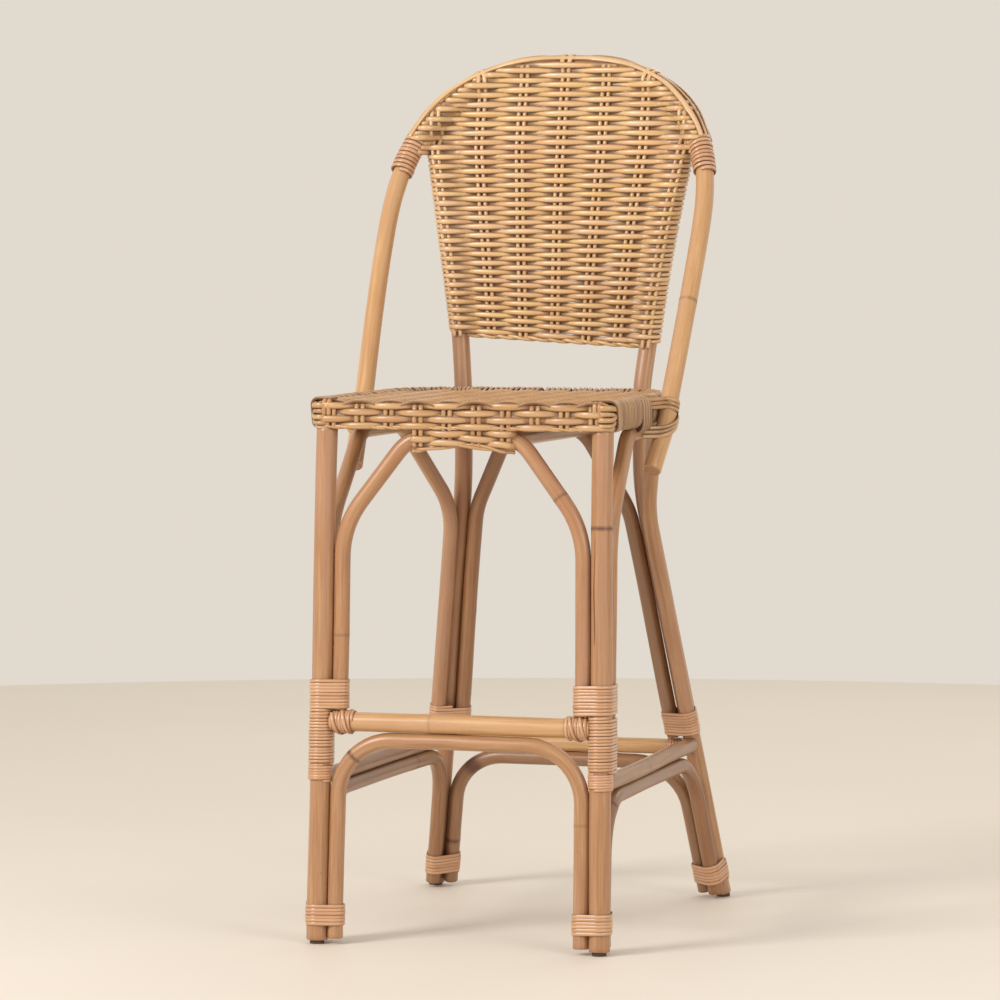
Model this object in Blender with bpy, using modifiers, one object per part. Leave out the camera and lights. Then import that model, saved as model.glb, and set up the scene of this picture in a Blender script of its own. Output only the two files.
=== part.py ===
"""Rattan bar stool with a footrest.

Four legs of round pole carry a woven seat. Bent poles run beside the legs as
arches, one loop of pole passes the seat and becomes the back's arched rim, and
cane bindings tie the poles together. Metres, +Z up, the front faces -Y, and
the origin is on the floor below the middle of the stool.
"""

import math

import bmesh
import bpy
from mathutils import Matrix, Vector, geometry

# Clearance between pieces that touch, and how near points are welded.
GAP = 0.0003
WELD_DISTANCE = 1e-6

# Seat.
SEAT_HEIGHT = 0.756
SEAT_EDGE_DEPTH = 0.039
SEAT_FRONT_WIDTH = 0.436
SEAT_DEPTH = 0.445
SEAT_TAPER = 0.0055
SEAT_CORNER_RADIUS = 0.016
SEAT_REAR_STRAIGHT = 0.190
SEAT_REAR_ROUND = 0.150
SEAT_SKIRT = 0.006
SEAT_EDGE_ROUND = 0.005
LEAST_CORNER_RADIUS = 0.002
HOOP_JOIN_ROOM = 0.003

# Where the seat's front edge lies on the y axis; the rest is placed from it.
SEAT_FRONT = -0.2902

# Pole diameters.
FRONT_LEG_DIAMETER = 0.030
REAR_LEG_DIAMETER = 0.026
ARCH_DIAMETER = 0.022
LOOP_DIAMETER = 0.026
FOOTREST_DIAMETER = 0.027
BAR_DIAMETER = 0.023
RAIL_DIAMETER = 0.026
BEARER_DIAMETER = 0.026

# Legs. The splay is how much further out a foot stands than the leg's top.
FRONT_SPLAY_X = 0.005
FRONT_SPLAY_Y = 0.035
REAR_SPLAY_X = 0.088
REAR_SPLAY_Y = 0.143
UPRIGHT_SPACING = 0.271
KNEE_BELOW_SEAT = 0.140
KNEE_BEND_RADIUS = 0.30
ARCH_FOOT_CLEARANCE = 0.009
GLIDE_HEIGHT = 0.006
GLIDE_DIAMETER = 0.020

# Footrest level. The side and rear bars keep their places below the footrest.
FOOTREST_HEIGHT = 0.309
SIDE_BAR_BELOW_FOOTREST = 0.078
REAR_BAR_BELOW_FOOTREST = 0.083
LOWER_BEND_RADIUS = 0.078

# Upper arches: where each leaves its leg, below the seat's underside, and the
# half length of its level top.
ARCH_SHOULDER_DROP = 0.137
ARCH_SHOULDER_RADIUS = 0.130
ARCH_CROWN_RADIUS = 0.055
FRONT_CROWN_HALF = 0.078
REAR_CROWN_HALF = 0.053
SIDE_CROWN_FRONT = 0.139
SIDE_CROWN_REAR = 0.112
BEARER_SPACING = 0.124

# Loop and back.
LOOP_BELOW_SEAT = 0.102
LOOP_TAIL_INWARD = 0.007
LOOP_TAIL_FORWARD = 0.012
LOOP_BEHIND_SEAT_FRONT = 0.271
LOOP_LEAN = 0.585
LOOP_WIDEST_HEIGHT = 0.235
LOOP_WIDEST_HALF = 0.2365
LOOP_TOP_HEIGHT = 0.471
LOOP_SQUARENESS = 2.45
LOOP_SEAT_CLEARANCE = 0.0005
LOOP_FAN_POWER = 1.5
BACK_BOTTOM_HEIGHT = 0.073
BACK_THICKNESS = 0.012
BACK_LEAN_LOW = 0.024
BACK_LEAN_HIGH = 0.041
UPRIGHT_TOP_HEIGHT = 0.351
UPRIGHT_TOP_SPACING = 0.375
UPRIGHT_FAN_POWER = 1.25
BACK_BEHIND_UPRIGHT = 0.0125
BACK_RIM_ROOM = 0.004
EDGE_TOP_ROOM = 0.012
RIM_WALL = 0.0045
RIM_START_HEIGHT = 0.3625
EDGE_WALL = 0.0040

# Cane bindings.
CANE_WALL = 0.003
FOOT_BINDING = (0.025, 0.059)
FRONT_BINDING_LENGTH = 0.044
BINDING_ABOVE_BAR = 0.005
REAR_BINDING_LENGTH = 0.038
END_BINDING_LENGTH = 0.026
LOOP_BINDING = (0.318, 0.360)
STRAP_LENGTH = 0.028
STRAP_END_ROOM = 0.002
APRON_HALF_WIDTH = 0.076
APRON_DEPTH = 0.036
APRON_ARCH = 0.010
APRON_THICKNESS = 0.006

# Where a path that is sawn off at the floor starts, and the two heights that
# give a leg's direction.
BELOW_FLOOR = -0.03
LOW_MARK = 0.1
HIGH_MARK = 0.5

# Step for measuring the slope of the arched rim.
SLOPE_STEP = 0.002

# Surface roughness of the plain materials.
POLE_ROUGHNESS = 0.45
CANE_ROUGHNESS = 0.6
GLIDE_ROUGHNESS = 0.7

# Values that follow from the ones above.
FRONT_LEG_RADIUS = FRONT_LEG_DIAMETER / 2
REAR_LEG_RADIUS = REAR_LEG_DIAMETER / 2
ARCH_RADIUS = ARCH_DIAMETER / 2
LOOP_RADIUS = LOOP_DIAMETER / 2
FOOTREST_RADIUS = FOOTREST_DIAMETER / 2
BAR_RADIUS = BAR_DIAMETER / 2
RAIL_RADIUS = RAIL_DIAMETER / 2
BEARER_RADIUS = BEARER_DIAMETER / 2
SEAT_REAR = SEAT_FRONT + SEAT_DEPTH
SEAT_UNDERSIDE = SEAT_HEIGHT - SEAT_EDGE_DEPTH
RAIL_INSET = SEAT_SKIRT + 2 * GAP + RAIL_RADIUS
RAIL_Z = SEAT_UNDERSIDE + RAIL_RADIUS
CROWN_Z = SEAT_UNDERSIDE - GAP - ARCH_RADIUS
SHOULDER_Z = SEAT_UNDERSIDE - ARCH_SHOULDER_DROP
LEG_TOP_Z = SEAT_UNDERSIDE - GAP
FRONT_LEG_TOP = (
    SEAT_FRONT_WIDTH / 2 - RAIL_INSET,
    SEAT_FRONT + RAIL_INSET,
)
UPRIGHT_X = UPRIGHT_SPACING / 2
UPRIGHT_Y = SEAT_REAR + GAP + REAR_LEG_RADIUS
KNEE_Z = SEAT_HEIGHT - KNEE_BELOW_SEAT
FOOT_Z = GLIDE_HEIGHT + GAP
LOWER_FRONT_Z = FOOTREST_HEIGHT - FOOTREST_RADIUS - GAP - ARCH_RADIUS
SIDE_BAR_HEIGHT = FOOTREST_HEIGHT - SIDE_BAR_BELOW_FOOTREST
REAR_BAR_HEIGHT = FOOTREST_HEIGHT - REAR_BAR_BELOW_FOOTREST
LOWER_SIDE_Z = SIDE_BAR_HEIGHT - BAR_RADIUS - GAP - ARCH_RADIUS
LOWER_REAR_Z = REAR_BAR_HEIGHT - BAR_RADIUS - GAP - ARCH_RADIUS


def seat_half_width(y):
    """Half the seat's width at y, along its tapering sides and rounded rear."""
    round_start = SEAT_REAR - SEAT_REAR_ROUND
    along = min(max((y - SEAT_FRONT) / (round_start - SEAT_FRONT), 0), 1)
    side = SEAT_FRONT_WIDTH / 2 - SEAT_TAPER * along
    if y <= round_start:
        return side
    flat = SEAT_REAR_STRAIGHT / 2
    reach = min((y - round_start) / SEAT_REAR_ROUND, 1)
    return flat + (side - flat) * math.sqrt(1 - reach * reach)


def arc(center, radii, start, end, steps):
    """Points of an elliptical arc, angles in degrees."""
    angles = (math.radians(start + (end - start) * i / steps) for i in range(steps + 1))
    return [
        (center[0] + radii[0] * math.cos(a), center[1] + radii[1] * math.sin(a))
        for a in angles
    ]


def seat_outline(inset):
    """The seat's plan, moved inwards by inset, front right corner first."""
    round_start = SEAT_REAR - SEAT_REAR_ROUND
    flat = SEAT_REAR_STRAIGHT / 2
    side = seat_half_width(round_start)
    corner = max(SEAT_CORNER_RADIUS - inset, LEAST_CORNER_RADIUS)
    front = SEAT_FRONT + inset
    corner_center = (SEAT_FRONT_WIDTH / 2 - inset - corner, front + corner)
    right = arc(corner_center, (corner, corner), -90, 0, 4)
    rear_radii = (side - flat - inset, SEAT_REAR_ROUND - inset)
    right += arc((flat, round_start), rear_radii, 0, 90, 10)
    return right + [(-x, y) for x, y in reversed(right)]


def between(start, end, share):
    return start + (end - start) * share


def front_leg(z):
    """Centre of the right front leg at height z."""
    down = (LEG_TOP_Z - z) / LEG_TOP_Z
    return Vector(
        (
            FRONT_LEG_TOP[0] + FRONT_SPLAY_X * down,
            FRONT_LEG_TOP[1] - FRONT_SPLAY_Y * down,
            z,
        )
    )


def rear_leg(z):
    """Centre of the right rear leg below its knee, at height z."""
    down = (KNEE_Z - z) / KNEE_Z
    return Vector(
        (UPRIGHT_X + REAR_SPLAY_X * down, UPRIGHT_Y + REAR_SPLAY_Y * down, z)
    )


def beside(leg, side, distance):
    """A line parallel to a leg, on the side given as a level direction."""
    axis = (leg(HIGH_MARK) - leg(LOW_MARK)).normalized()
    way = Vector((side[0], side[1], 0)).normalized()
    step = way * distance / math.sqrt(1 - way.dot(axis) ** 2)
    return lambda z: leg(z) + step


def cap_rise(leg, radius):
    """How far a square-cut end's edge lies above its centre on a leaning pole."""
    axis = leg(HIGH_MARK) - leg(LOW_MARK)
    return radius * math.hypot(axis.x, axis.y) / axis.z + GAP


def side_room(leg, leg_radius, bar_radius, way):
    """How far from a leg's centre line a square-cut bar has to stop."""
    axis = (leg(HIGH_MARK) - leg(LOW_MARK)).normalized()
    along = abs(axis.dot(Vector(way).normalized()))
    return (leg_radius + bar_radius * along) / math.sqrt(1 - along * along) + GAP


FRONT_PITCH = FRONT_LEG_RADIUS + GAP + ARCH_RADIUS
REAR_PITCH = REAR_LEG_RADIUS + GAP + ARCH_RADIUS
FRONT_INNER = beside(front_leg, (-1, 0), FRONT_PITCH)
FRONT_REARWARD = beside(front_leg, (0.1, 1), FRONT_PITCH)
FRONT_LOWER_REARWARD = beside(front_leg, (-0.08, 1), FRONT_PITCH)
REAR_INNER = beside(rear_leg, (-1, -0.2), REAR_PITCH)
REAR_FORWARD = beside(rear_leg, (0.33, -1), REAR_PITCH)
REAR_LOWER_FORWARD = beside(rear_leg, (-0.12, -1), REAR_PITCH)


def bent(corners, radii, steps=5):
    """A path through the corners, each inner one rounded to its bend radius."""
    points = [Vector(corners[0])]
    for i, radius in enumerate(radii, start=1):
        before, corner, after = (Vector(c) for c in corners[i - 1 : i + 2])
        back = (before - corner).normalized()
        ahead = (after - corner).normalized()
        half_turn = (math.pi - back.angle(ahead)) / 2
        reach = radius * math.tan(half_turn)
        middle = corner + (back + ahead).normalized() * radius / math.cos(half_turn)
        first = (corner + back * reach - middle).normalized()
        last = (corner + ahead * reach - middle).normalized()
        for step in range(steps + 1):
            points.append(middle + first.slerp(last, step / steps) * radius)
    return points + [Vector(corners[-1])]


def mirrored(points):
    return [Vector((-p[0], p[1], p[2])) for p in points]


def both_sides(right):
    """The right half of a symmetric path, from its end to the middle, made whole."""
    return right + list(reversed(mirrored(right)))


def loop_at(z):
    """Centre of the loop's right side at height z."""
    at_seat = seat_half_width(SEAT_FRONT + LOOP_BEHIND_SEAT_FRONT) 
    at_seat += LOOP_SEAT_CLEARANCE + GAP + LOOP_RADIUS
    y = SEAT_FRONT + LOOP_BEHIND_SEAT_FRONT + LOOP_LEAN * (z - SEAT_HEIGHT)
    above = z - SEAT_HEIGHT
    if above <= LOOP_WIDEST_HEIGHT:
        drop = max(min((LOOP_WIDEST_HEIGHT - above) / LOOP_WIDEST_HEIGHT, 1), 0)
        x = between(LOOP_WIDEST_HALF, at_seat, drop**LOOP_FAN_POWER)
        tail = -(above + SEAT_EDGE_DEPTH) / (LOOP_BELOW_SEAT - SEAT_EDGE_DEPTH)
        tail = max(tail, 0)
        return Vector((x - LOOP_TAIL_INWARD * tail, y - LOOP_TAIL_FORWARD * tail, z))
    rise = (above - LOOP_WIDEST_HEIGHT) / (LOOP_TOP_HEIGHT - LOOP_WIDEST_HEIGHT)
    share = max(1 - min(rise, 1) ** LOOP_SQUARENESS, 0) ** (1 / LOOP_SQUARENESS)
    return Vector((LOOP_WIDEST_HALF * share, y, z))


def loop_route(low, high, steps):
    """The loop's right side between two heights above the seat, evenly in height."""
    return [loop_at(SEAT_HEIGHT + between(low, high, i / steps)) for i in range(steps + 1)]


def rim_route(steps):
    """The loop from the rim's start over its crown to the other side."""
    span = LOOP_TOP_HEIGHT - LOOP_WIDEST_HEIGHT
    low = (RIM_START_HEIGHT - LOOP_WIDEST_HEIGHT) / span
    start = math.asin(low ** (LOOP_SQUARENESS / 2))
    right = []
    for i in range(steps + 1):
        turn = between(start, math.pi / 2, i / steps)
        rise = span * math.sin(turn) ** (2 / LOOP_SQUARENESS)
        right.append(loop_at(SEAT_HEIGHT + LOOP_WIDEST_HEIGHT + rise))
    return right + list(reversed(mirrored(right[:-1])))


def crown_height(x):
    """Height of the arch's centre line above a point x off the middle."""
    share = max(1 - min(abs(x) / LOOP_WIDEST_HALF, 1) ** LOOP_SQUARENESS, 0)
    span = LOOP_TOP_HEIGHT - LOOP_WIDEST_HEIGHT
    return SEAT_HEIGHT + LOOP_WIDEST_HEIGHT + span * share ** (1 / LOOP_SQUARENESS)


BACK_LOW_Z = SEAT_HEIGHT + BACK_BOTTOM_HEIGHT
BACK_LOW_Y = UPRIGHT_Y + BACK_BEHIND_UPRIGHT
BACK_HIGH_Z = SEAT_HEIGHT + LOOP_TOP_HEIGHT


def back_y(z):
    """The back's middle surface, which leans more towards its top."""
    rise = (z - BACK_LOW_Z) / (BACK_HIGH_Z - BACK_LOW_Z)
    return BACK_LOW_Y + BACK_LEAN_LOW * rise + BACK_LEAN_HIGH * max(rise, 0) ** 3


def upright_at(z):
    """Centre of the right upright inside the back, at height z."""
    top_z = SEAT_HEIGHT + UPRIGHT_TOP_HEIGHT
    share = (z - SEAT_HEIGHT) / (top_z - SEAT_HEIGHT)
    x = between(UPRIGHT_X, UPRIGHT_TOP_SPACING / 2, max(share, 0) ** UPRIGHT_FAN_POWER)
    return Vector((x, back_y(z), z))


def material(name, color, roughness, metallic=0.0):
    """A Principled material in the colour of one kind of piece."""
    made = bpy.data.materials.new(name)
    made.use_nodes = True
    shader = made.node_tree.nodes["Principled BSDF"]
    shader.inputs["Base Color"].default_value = (*color, 1.0)
    shader.inputs["Roughness"].default_value = roughness
    shader.inputs["Metallic"].default_value = metallic
    made.diffuse_color = (*color, 1.0)
    return made


def place(name, data, color, roughness):
    """An object in the stool's collection, with a material of its own."""
    made = bpy.data.objects.new(name, data)
    data.materials.append(material(name + "_finish", color, roughness))
    stool.objects.link(made)
    return made


def tube(name, points, radius, sides=12, capped=True):
    """The curve of a round pole along points."""
    curve = bpy.data.curves.new(name, "CURVE")
    curve.dimensions = "3D"
    curve.bevel_depth = radius
    curve.bevel_resolution = sides // 2 - 2
    curve.use_fill_caps = capped
    curve.twist_mode = "MINIMUM"
    spline = curve.splines.new("POLY")
    spline.points.add(len(points) - 1)
    for point, place_at in zip(spline.points, points):
        point.co = (*place_at, 1.0)
    spline.use_smooth = True
    return curve


def pole(name, points, radius, color, sides=12):
    return place(name, tube(name, points, radius, sides), color, POLE_ROUGHNESS)


def as_mesh(curve_object):
    """The object remade as a closed mesh, its caps welded on."""
    bpy.context.view_layer.update()
    graph = bpy.context.evaluated_depsgraph_get()
    mesh = bpy.data.meshes.new_from_object(curve_object.evaluated_get(graph))
    name = curve_object.name
    bpy.data.objects.remove(curve_object)
    mesh.name = name
    body = bmesh.new()
    body.from_mesh(mesh)
    bmesh.ops.remove_doubles(body, verts=body.verts, dist=WELD_DISTANCE)
    body.to_mesh(mesh)
    body.free()
    made = bpy.data.objects.new(name, mesh)
    stool.objects.link(made)
    return made


def cut_level(standing, z):
    """Saws a pole's lower end level with the floor, at height z."""
    body = bmesh.new()
    body.from_mesh(standing.data)
    everything = list(body.verts) + list(body.edges) + list(body.faces)
    bmesh.ops.bisect_plane(
        body, geom=everything, plane_co=(0, 0, z), plane_no=(0, 0, 1), clear_inner=True
    )
    rim = [edge for edge in body.edges if edge.is_boundary]
    bmesh.ops.holes_fill(body, edges=rim)
    body.to_mesh(standing.data)
    body.free()


def standing_pole(name, points, radius, color, foot_z):
    """A pole whose lower ends are sawn level at foot_z."""
    made = as_mesh(pole(name, points, radius, color))
    cut_level(made, foot_z)
    made.data.shade_smooth()
    made.data.set_sharp_from_angle(angle=math.radians(50))
    return made


def flat_shape(name, outlines, half_thickness, color, roughness=CANE_ROUGHNESS):
    """A flat outline with its holes, extruded both ways along local z."""
    curve = bpy.data.curves.new(name, "CURVE")
    curve.dimensions = "2D"
    curve.fill_mode = "BOTH"
    curve.extrude = half_thickness
    for outline in outlines:
        spline = curve.splines.new("POLY")
        spline.points.add(len(outline) - 1)
        for point, (x, y) in zip(spline.points, outline):
            point.co = (x, y, 0, 1)
        spline.use_cyclic_u = True
    return place(name, curve, color, roughness)


def ring(center, radius, sides=16):
    """A regular outline that just holds a circle of the radius."""
    corner_radius = radius / math.cos(math.pi / sides)
    return arc(center, (corner_radius, corner_radius), 0, 360, sides)[:-1]


def hull(circles, grown):
    """Outline round several grown circles, as a cord pulled tight round them lies."""
    cloud = []
    for center, radius in circles:
        cloud += ring((center.x, center.y), radius + grown)
    return [cloud[i] for i in geometry.convex_hull_2d(cloud)]


def standing_frame(origin, axis, side=(1, 0, 0)):
    """A frame at origin with local z along axis and local x near side."""
    up = Vector(axis).normalized()
    across = Vector(side)
    across = (across - up * across.dot(up)).normalized()
    other = up.cross(across)
    frame = Matrix((across, other, up)).transposed().to_4x4()
    return Matrix.Translation(origin) @ frame


def binding(name, poles, low, high, color):
    """Cane wound round a bundle of parallel poles, as one band.

    poles is a list of (centre line, radius), the main pole first.
    """
    main = poles[0][0]
    middle = main((low + high) / 2)
    axis = main(high) - main(low)
    frame = standing_frame(middle, axis)
    into = frame.inverted()
    circles = [(into @ line(middle.z), radius) for line, radius in poles]
    outlines = [hull(circles, GAP + CANE_WALL), hull(circles, GAP)]
    made = flat_shape(name, outlines, axis.length / 2, color)
    made.matrix_world = frame
    return made


def end_binding(name, center, direction, radius, length, color):
    """Cane wound round the end of one pole."""
    frame = standing_frame(center, direction, side=(0, 1, 0))
    outlines = [ring((0, 0), radius + GAP + CANE_WALL), ring((0, 0), radius + GAP)]
    made = flat_shape(name, outlines, length / 2, color)
    made.matrix_world = frame
    return made


def sleeve(name, points, inner_radius, wall, color, sides=12):
    """A woven tube along points, clear of a pole that is GAP thinner."""
    corner_radius = inner_radius / math.cos(math.pi / sides)
    open_tube = tube(name, points, corner_radius, sides, capped=False)
    made = as_mesh(place(name, open_tube, color, CANE_ROUGHNESS))
    wall_modifier = made.modifiers.new("wall", "SOLIDIFY")
    wall_modifier.thickness = wall
    wall_modifier.offset = 1
    wall_modifier.use_even_offset = False
    return made


POLE = (0.62, 0.36, 0.17)
POLE_PALE = (0.68, 0.42, 0.20)
POLE_DARK = (0.42, 0.25, 0.13)
CANE = (0.72, 0.48, 0.25)
WEAVE = (0.66, 0.42, 0.17)
GLIDE = (0.05, 0.04, 0.035)
SIDES = (("R", 1), ("L", -1))


def sided(points, sign):
    return points if sign > 0 else mirrored(points)


def sided_line(line, sign):
    return line if sign > 0 else (lambda z: mirrored([line(z)])[0])


def make_legs():
    knee = rear_leg(KNEE_Z)
    seat_level = Vector((UPRIGHT_X, UPRIGHT_Y, SEAT_UNDERSIDE))
    behind_seat = Vector((UPRIGHT_X, UPRIGHT_Y, SEAT_HEIGHT))
    top_z = SEAT_HEIGHT + UPRIGHT_TOP_HEIGHT
    climb = [upright_at(between(BACK_LOW_Z, top_z, i / 6)) for i in range(7)]
    lower = bent([rear_leg(BELOW_FLOOR), knee, seat_level], [KNEE_BEND_RADIUS])
    for side, sign in SIDES:
        front_top = front_leg(LEG_TOP_Z - cap_rise(front_leg, FRONT_LEG_RADIUS))
        front = [front_leg(BELOW_FLOOR), front_top]
        standing_pole(
            "front_leg_" + side, sided(front, sign), FRONT_LEG_RADIUS, POLE, FOOT_Z
        )
        rear = lower[:-1] + [seat_level, behind_seat] + climb
        standing_pole(
            "rear_leg_" + side, sided(rear, sign), REAR_LEG_RADIUS, POLE, FOOT_Z
        )


def make_glides():
    for side, sign in SIDES:
        for name, leg in (("front", front_leg), ("rear", rear_leg)):
            foot = sided([leg(0)], sign)[0]
            bpy.ops.mesh.primitive_cylinder_add(
                vertices=24,
                radius=GLIDE_DIAMETER / 2,
                depth=GLIDE_HEIGHT,
                location=(foot.x, foot.y, GLIDE_HEIGHT / 2),
            )
            made = bpy.context.object
            made.name = f"{name}_glide_{side}"
            made.data.materials.append(material(made.name + "_finish", GLIDE, GLIDE_ROUGHNESS))
            for collection in made.users_collection:
                collection.objects.unlink(made)
            stool.objects.link(made)


def upper_front_start():
    """Height at which the front arch stands on the bound ends of the footrest."""
    bound = FOOTREST_RADIUS + GAP + CANE_WALL
    return FOOTREST_HEIGHT + bound + cap_rise(front_leg, ARCH_RADIUS)


def make_upper_arches():
    crown_y = SEAT_FRONT + RAIL_INSET
    start_z = upper_front_start()
    shoulder = FRONT_INNER(SHOULDER_Z)
    crown = (FRONT_CROWN_HALF, crown_y, CROWN_Z)
    corners = [FRONT_INNER(start_z), shoulder, crown, (0, crown_y, CROWN_Z)]
    right = bent(corners, [ARCH_SHOULDER_RADIUS, ARCH_CROWN_RADIUS])
    pole("front_arch", both_sides(right[:-1]), ARCH_RADIUS, POLE_PALE)

    crown_y = SEAT_REAR - RAIL_INSET
    start_z = REAR_BAR_HEIGHT + BAR_RADIUS + CANE_WALL + 2 * GAP
    start_z += cap_rise(rear_leg, ARCH_RADIUS)
    shoulder = REAR_INNER(SHOULDER_Z)
    crown = (REAR_CROWN_HALF, crown_y, CROWN_Z)
    corners = [REAR_INNER(start_z), shoulder, crown, (0, crown_y, CROWN_Z)]
    right = bent(corners, [ARCH_SHOULDER_RADIUS, ARCH_CROWN_RADIUS])
    pole("rear_arch", both_sides(right[:-1]), ARCH_RADIUS, POLE)

    start_z = SIDE_BAR_HEIGHT + BAR_RADIUS + GAP
    front_crown = SEAT_FRONT + RAIL_INSET + SIDE_CROWN_FRONT
    rear_crown = SEAT_REAR - SIDE_CROWN_REAR
    corners = [
        FRONT_REARWARD(start_z + cap_rise(front_leg, ARCH_RADIUS)),
        FRONT_REARWARD(SHOULDER_Z),
        (seat_half_width(front_crown) - RAIL_INSET, front_crown, CROWN_Z),
        (seat_half_width(rear_crown) - RAIL_INSET, rear_crown, CROWN_Z),
        REAR_FORWARD(SHOULDER_Z),
        REAR_FORWARD(start_z + cap_rise(rear_leg, ARCH_RADIUS)),
    ]
    radii = [ARCH_SHOULDER_RADIUS, ARCH_CROWN_RADIUS, ARCH_CROWN_RADIUS, ARCH_SHOULDER_RADIUS]
    for side, sign in SIDES:
        pole("side_arch_" + side, sided(bent(corners, radii), sign), ARCH_RADIUS, POLE)


def make_lower_arches():
    foot_z = ARCH_FOOT_CLEARANCE
    corner = FRONT_INNER(LOWER_FRONT_Z)
    corners = [FRONT_INNER(BELOW_FLOOR), corner, (0, corner.y, LOWER_FRONT_Z)]
    right = bent(corners, [LOWER_BEND_RADIUS], 7)
    standing_pole("lower_front_arch", both_sides(right[:-1]), ARCH_RADIUS, POLE_PALE, foot_z)

    corner = REAR_INNER(LOWER_REAR_Z)
    corners = [REAR_INNER(BELOW_FLOOR), corner, (0, corner.y, LOWER_REAR_Z)]
    right = bent(corners, [LOWER_BEND_RADIUS], 7)
    standing_pole("lower_rear_arch", both_sides(right[:-1]), ARCH_RADIUS, POLE, foot_z)

    corners = [
        FRONT_LOWER_REARWARD(BELOW_FLOOR),
        FRONT_LOWER_REARWARD(LOWER_SIDE_Z),
        REAR_LOWER_FORWARD(LOWER_SIDE_Z),
        REAR_LOWER_FORWARD(BELOW_FLOOR),
    ]
    path = bent(corners, [LOWER_BEND_RADIUS] * 2, 7)
    for side, sign in SIDES:
        standing_pole(
            "lower_side_arch_" + side, sided(path, sign), ARCH_RADIUS, POLE_DARK, foot_z
        )


def make_cross_bar(name, binding_name, leg, leg_radius, height, radius):
    """A bar between the two front or rear legs, with cane round both its ends."""
    half = leg(height).x - side_room(leg, leg_radius, radius, (1, 0, 0))
    y = leg(height).y
    pole(name, [(-half, y, height), (half, y, height)], radius, POLE_PALE, sides=16)
    clear = side_room(leg, leg_radius, radius + CANE_WALL + GAP, (1, 0, 0))
    bound = leg(height).x - clear - END_BINDING_LENGTH / 2
    for side, sign in SIDES:
        center = (sign * bound, y, height)
        end_binding(binding_name + side, center, (1, 0, 0), radius, END_BINDING_LENGTH, CANE)


def make_bars():
    front = (front_leg, FRONT_LEG_RADIUS, FOOTREST_HEIGHT, FOOTREST_RADIUS)
    make_cross_bar("footrest_bar", "footrest_binding_", *front)
    rear = (rear_leg, REAR_LEG_RADIUS, REAR_BAR_HEIGHT, BAR_RADIUS)
    make_cross_bar("rear_bar", "rear_bar_binding_", *rear)
    start = front_leg(SIDE_BAR_HEIGHT)
    end = rear_leg(SIDE_BAR_HEIGHT)
    way = (end - start).normalized()
    start += way * side_room(front_leg, FRONT_LEG_RADIUS, BAR_RADIUS, way)
    end -= way * side_room(rear_leg, REAR_LEG_RADIUS, BAR_RADIUS, way)
    for side, sign in SIDES:
        pole("side_bar_" + side, sided([start, end], sign), BAR_RADIUS, POLE_DARK, sides=16)


def make_seat_frame():
    rail_start = SEAT_FRONT + RAIL_INSET
    inner_end = FRONT_LEG_TOP[0] - RAIL_RADIUS - 3 * GAP
    front = [(-inner_end, rail_start, RAIL_Z), (inner_end, rail_start, RAIL_Z)]
    pole("seat_front_rail", front, RAIL_RADIUS, POLE_DARK)

    outline = seat_outline(RAIL_INSET)
    hoop = [(x, y) for x, y in outline if y > rail_start + HOOP_JOIN_ROOM]
    first = (FRONT_LEG_TOP[0], rail_start - RAIL_RADIUS / 2)
    last = (-first[0], first[1])
    path = [(x, y, RAIL_Z) for x, y in [first, *hoop, last]]
    pole("seat_hoop", path, RAIL_RADIUS, POLE_DARK)

    near = SEAT_FRONT + RAIL_INSET + ARCH_RADIUS + GAP
    far = SEAT_REAR - RAIL_INSET - ARCH_RADIUS - GAP
    z = SEAT_UNDERSIDE - GAP - BEARER_RADIUS
    for side, sign in SIDES:
        x = sign * BEARER_SPACING / 2
        pole("seat_bearer_" + side, [(x, near, z), (x, far, z)], BEARER_RADIUS, POLE_DARK)


def make_seat_cover():
    """The woven seat: a shell over the frame, open underneath."""
    middle = SEAT_HEIGHT - SEAT_EDGE_DEPTH / 2
    cover = flat_shape("seat_weave", [seat_outline(0)], SEAT_EDGE_DEPTH / 2, WEAVE)
    cover.location.z = middle
    cover = as_mesh_in_place(cover)
    rounding = cover.modifiers.new("rounded edge", "BEVEL")
    rounding.width = SEAT_EDGE_ROUND
    rounding.segments = 2
    rounding.limit_method = "ANGLE"
    rounding.angle_limit = math.radians(60)

    room = flat_shape("seat_room", [seat_outline(SEAT_SKIRT)], SEAT_EDGE_DEPTH / 2, WEAVE)
    top = RAIL_Z + RAIL_RADIUS + GAP
    room.location.z = top - SEAT_EDGE_DEPTH / 2
    room = as_mesh_in_place(room)
    hide_cutter(room)
    hollow = cover.modifiers.new("hollow", "BOOLEAN")
    hollow.operation = "DIFFERENCE"
    hollow.object = room


def as_mesh_in_place(curve_object):
    where = curve_object.matrix_basis.copy()
    made = as_mesh(curve_object)
    made.matrix_world = where
    return made


def hide_cutter(cutter):
    stool.objects.unlink(cutter)
    cutters.objects.link(cutter)
    cutter.hide_render = True
    cutter.display_type = "WIRE"


def make_apron():
    """The woven tongue that ties the front arch's crown to the seat's edge."""
    low = SEAT_UNDERSIDE - APRON_DEPTH
    half = APRON_HALF_WIDTH
    steps = 10
    lower_edge = [
        (between(-half, half, i / steps), low + APRON_ARCH * math.sin(math.pi * i / steps))
        for i in range(steps + 1)
    ]
    top = SEAT_UNDERSIDE - GAP
    outline = lower_edge + [(half, top), (-half, top)]
    made = flat_shape("front_apron", [outline], APRON_THICKNESS / 2, WEAVE)
    front_of_arch = SEAT_FRONT + RAIL_INSET - ARCH_RADIUS - GAP
    made.rotation_euler.x = math.pi / 2
    made.location.y = front_of_arch - APRON_THICKNESS / 2


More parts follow.
